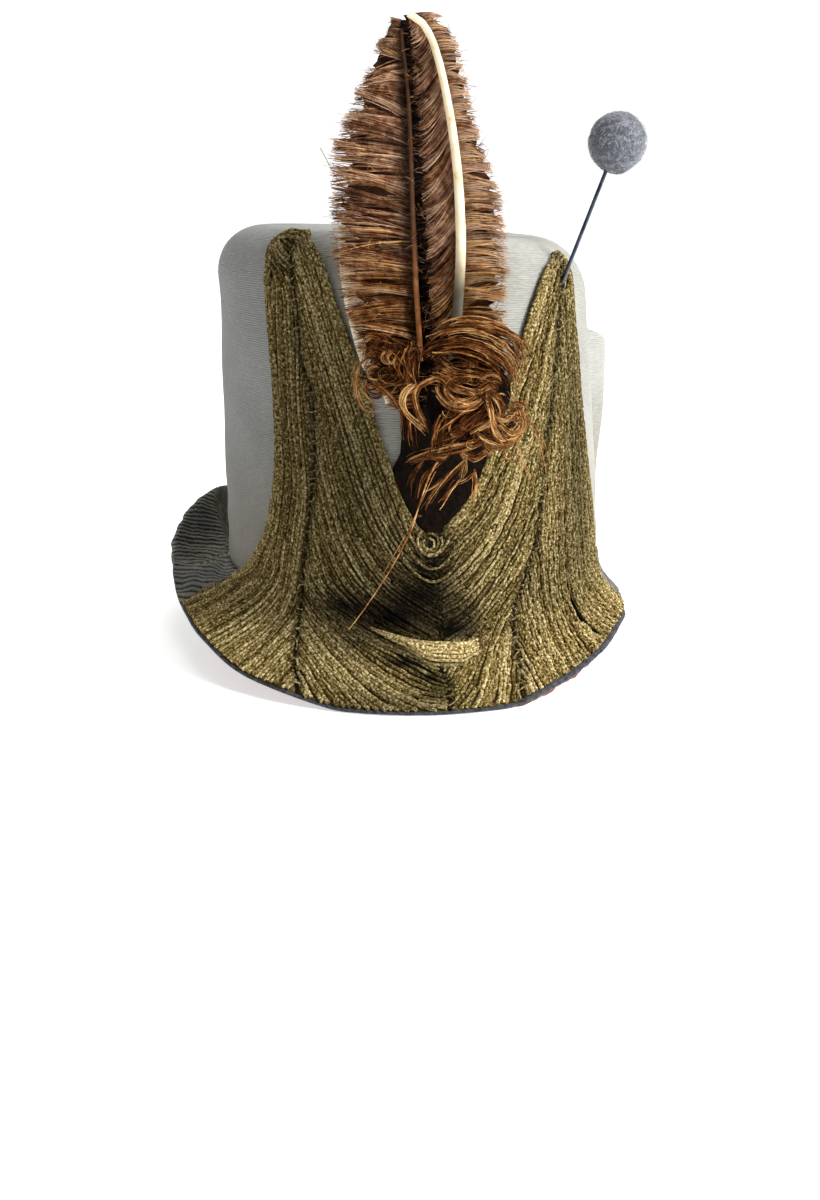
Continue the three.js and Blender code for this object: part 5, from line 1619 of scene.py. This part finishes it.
# Small loose curls: middle, half widths, how many, their radii, and the holes that they leave open.
tuftCurls = namedRows(("middle", "half", "count", "radius", "tones"), [
    ((-1.5, 9, 10.5), (11, 4.0, 8.0), 30, (2.2, 5.5), (0.2, 1.1)),
    ((2, 8, -5), (13, 3.5, 8.0), 34, (1.8, 4.5), (0.2, 1.1)),
    ((12.5, 10, -1), (5, 3.0, 7.0), 18, (1.6, 3.6), (0.5, 1.2)),
    ((-27, 0, 16), (8, 2.5, 9.0), 44, (1.6, 4.2), (0.1, 0.9)),
])
tuftHoles = namedRows(("middle", "half"), [
    ((-15.6, 4.5), (3.4, 6.5)),
    ((-18.2, -7), (3.4, 5.0)),
    ((-12.5, 20), (4.5, 3.4)),
])
looseBarbs = namedRows(("path", "width", "tone"), [
    ([(-4, 8, -9), (-8, 8, -14), (-13.1, 6, -19.4), (-20.8, 1, -44), (-33.1, 4, -64.4), (-44, 9, -77)], 0.8, 0.75),
    ([(-12, 6, -20), (-20, 2, -40), (-32, 4, -60)], 0.35, 0.8),
    ([(-48.9, -20, 88.8), (-43.9, -19, 79.6), (-36, -18, 68.7)], 0.3, 0.3),
    ([(-35, -20, 97.3), (-39.8, -20, 99.2), (-44.2, -20, 100.4)], 0.4, 0.8),
    ([(-36, -20, 96), (-40.5, -20, 96.8), (-44.5, -20, 97)], 0.35, 0.6),
    ([(-30.9, -20, 88.2), (-40.2, -20, 90.8), (-47.5, -20, 91.8)], 0.5, 0.9),
    ([(-31, -20, 87), (-40, -20, 88.8), (-46.5, -20, 90.6)], 0.4, 0.7),
])


def fromTuft(places):
    return tuftCentre + np.array(places) * (1, -1, 1)


def lockStrands(dice, lock):
    centre = smoothLine(fromTuft(lock["path"]), 1.3)
    strands = []
    share = np.linspace(0, 1, len(centre))
    for _ in range(int(lock["count"] * tuftLook["crowd"])):
        away = dice.normal(0, 1, 3) * lock["spread"] * np.array([0.68, 0.6, 0.68])
        twist = dice.normal(0, 1, 3) * lock["spread"] * 0.45
        start = int(dice.uniform(0, 0.2) * len(centre))
        end = len(centre) - int(dice.uniform(0, 0.25) * len(centre))
        if end - start < 4:
            continue
        sway = np.sin(share * dice.uniform(2, 7) + dice.uniform(0, 6))[:, None]
        points = centre + away + twist * np.sin(np.pi * share)[:, None] + dice.normal(0, 0.35, 3) * sway
        points += np.cumsum(dice.normal(0, 0.08, points.shape), axis=0)
        t = np.linspace(0, 1, end - start)
        width = tuftLook["lockWidth"] * lock["thin"] * dice.uniform(0.55, 1.4) * (1 - 0.65 * t**2.5)
        # Painted shade: strands that lie further back in the tuft are darker.
        depthShade = np.clip(0.8 - 0.5 * away[1] / lock["spread"], 0.2, 1.1)
        strands.append((points[start:end], width, dice.uniform(*lock["tones"]) * 0.9, depthShade))
    return strands


def curlStrands(dice, group):
    strands = []
    for _ in range(group["count"]):
        middle = np.array(group["middle"]) + dice.uniform(-1, 1, 3) * group["half"]
        if any(((middle[0] - h["middle"][0]) / h["half"][0])**2 + ((middle[2] - h["middle"][1]) / h["half"][1])**2 < 2.2
               for h in tuftHoles):
            continue
        radius = dice.uniform(*group["radius"])
        start, sweep = dice.uniform(0, 2 * math.pi), dice.uniform(2.2, 5.0) * dice.choice([-1, 1])
        tilt = dice.uniform(-0.8, 0.8)
        tone = dice.uniform(*group["tones"])
        for _ in range(dice.integers(3, 9)):
            t = np.linspace(0, 1, 13)
            turn = start + sweep * t + dice.normal(0, 0.15)
            size = radius * (1 + dice.normal(0, 0.1)) * (1 - 0.35 * t)
            x, z = size * np.cos(turn), size * np.sin(turn) * 0.85
            offset = np.stack([x, -(group["half"][1] * 0.3 + tilt * x * 0.6 + 1.2 * np.sin(turn * 0.7)), z], -1)
            points = fromTuft(middle) + offset + dice.normal(0, 0.25, 3)
            width = tuftLook["curlWidth"] * dice.uniform(0.6, 1.3) * (1 - 0.6 * t**2)
            strands.append((points, width, tone * 0.85 + dice.normal(0, 0.12), dice.uniform(0.45, 1.0)))
    return strands


def unitBall(columns, rows, top):
    turn, rise = np.meshgrid(np.linspace(0, 2 * math.pi, columns, endpoint=False), np.linspace(-top, top, rows))
    return turn, rise, np.stack([np.cos(rise) * np.cos(turn), np.cos(rise) * np.sin(turn), np.sin(rise)], -1)


def makeTuft():
    dice = np.random.default_rng(31)
    strands = [strand for lock in tuftLocks for strand in lockStrands(dice, lock)]
    strands += [strand for group in tuftCurls for strand in curlStrands(dice, group)]
    for barb in looseBarbs:
        line = smoothLine(fromTuft(barb["path"]), 2.0)
        t = np.linspace(0, 1, len(line))
        strands.append((line, barb["width"] * (1 - 0.6 * t), barb["tone"], 1.0))
    barbs = strandMesh("tuftBarbs", strands, rustBarb, sides=3, grain=110.0, slub=0.3, wobble=0.0011, seed=8.0)
    turn, rise, ball = unitBall(40, 22, 1.55)
    size = np.array(tuftLook["core"])
    lumps = 1 + 0.08 * np.sin(turn * 5 + rise * 4)[..., None]
    middle = tuftCentre + tuftLook["coreMiddle"]
    # The core is near black: painted shade behind the locks.
    core = wallMesh("tuftCore", middle + ball * size * lumps, middle + ball * size * 0.4, True, shadowFelt)
    finishPiece("curledTuft", [core, barbs], ["tuft"])


makeTuft()
print("tuft made")


# Hatpin

pinLook = {
    "shankWidth": 1.5,
    "out": 42.0,
    "in": 62.0,
    "seat": 7.0,
    "ball": 22.5,
    "ballShares": (0.93, 0.95, 0.98),
    "way": (0.365, 0.05, 0.93),  # from the shank's foot to the ball
    "fuzz": 2600,
    "fuzzWidth": 0.16,
    "tip": 0.06,  # the pointed part, as a share of the shank
    "lumps": 0.012,
}
feltStops = [
    (0.3, (0.1, 0.105, 0.125)),
    (0.45, (0.22, 0.235, 0.275)),
    (0.6, (0.36, 0.38, 0.43)),
    (0.75, (0.58, 0.6, 0.64)),
]


def makeShank(ballCentre):
    way = np.array(pinLook["way"])
    way /= np.linalg.norm(way)
    foot = ballCentre - way * (pinLook["out"] + pinLook["in"] + pinLook["ball"] / 2)
    head = ballCentre - way * (pinLook["ball"] / 2 - pinLook["seat"])
    share = np.linspace(0, 1, 60)[:, None]
    steel = newMaterial("pinSteel", (0.045, 0.055, 0.085), 0.32, metallic=0.9)
    worn = objectNoise(steel.node_tree, 300, 3.0)
    finishMaterial(steel, addRamp(steel.node_tree, worn, [(0.3, (0.03, 0.035, 0.05)), (0.7, (0.1, 0.12, 0.17))]))
    tip = pinLook["tip"]
    taper = np.where(share[:, 0] < tip, 0.15 + 0.85 * share[:, 0] / tip, 1.0)
    mesh = strandMesh("pinShank", [(foot + (head - foot) * share, pinLook["shankWidth"] * taper, 0.5, 1.0)], steel,
                      sides=16, slub=0.0, wobble=0.0)
    finishPiece("pinShank", [mesh], ["hatpin_shank"])


def makeBall(ballCentre):
    felt = strandMaterial("greyFelt", feltStops, 520, 0.9, sheen=0.4, toneShare=0.4, bump=0.6)
    dice = np.random.default_rng(41)
    turn, _, ball = unitBall(96, 64, 1.565)
    waves = [pinLook["lumps"] * np.sin(ball @ dice.normal(0, 4, 3) + dice.uniform(0, 6)) for _ in range(7)]
    lumps = sum(waves)[..., None]
    pitted = pinLook["lumps"] * dice.normal(0, 1, turn.shape)[..., None]
    outer = ballCentre + ball * pinLook["ball"] / 2 * np.array(pinLook["ballShares"]) * (0.99 + lumps + pitted)
    shell = wallMesh("pinBall", outer, ballCentre + ball * 2.0, True, felt, shade=np.ones_like(turn))
    fuzz = []
    for _ in range(pinLook["fuzz"]):
        out = dice.normal(0, 1, 3)
        out /= np.linalg.norm(out)
        drift = np.cross(out, dice.normal(0, 1, 3))
        t = np.linspace(0, 1, 5)[:, None]
        size = dice.uniform(0.5, 1.5)
        points = ballCentre + out * (pinLook["ball"] / 2 * 0.945 + size * 0.4 * np.sin(t * 2.2)) + drift * size * t
        fuzz.append((points, pinLook["fuzzWidth"] * (1 - 0.7 * t[:, 0]), dice.uniform(0.2, 1.1), 1.0))
    hairs = strandMesh("pinFuzz", fuzz, felt, sides=3, slub=0.0, wobble=0.0002, grain=400.0)
    finishPiece("pinBall", [shell, hairs], ["hatpin_ball"])


ballLow, ballHigh = (np.array(corner) * 1000 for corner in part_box("hatpin_ball"))
pinBallCentre = (ballLow + ballHigh) / 2 - hatPlace
makeShank(pinBallCentre)
makeBall(pinBallCentre)
print("hatpin made")
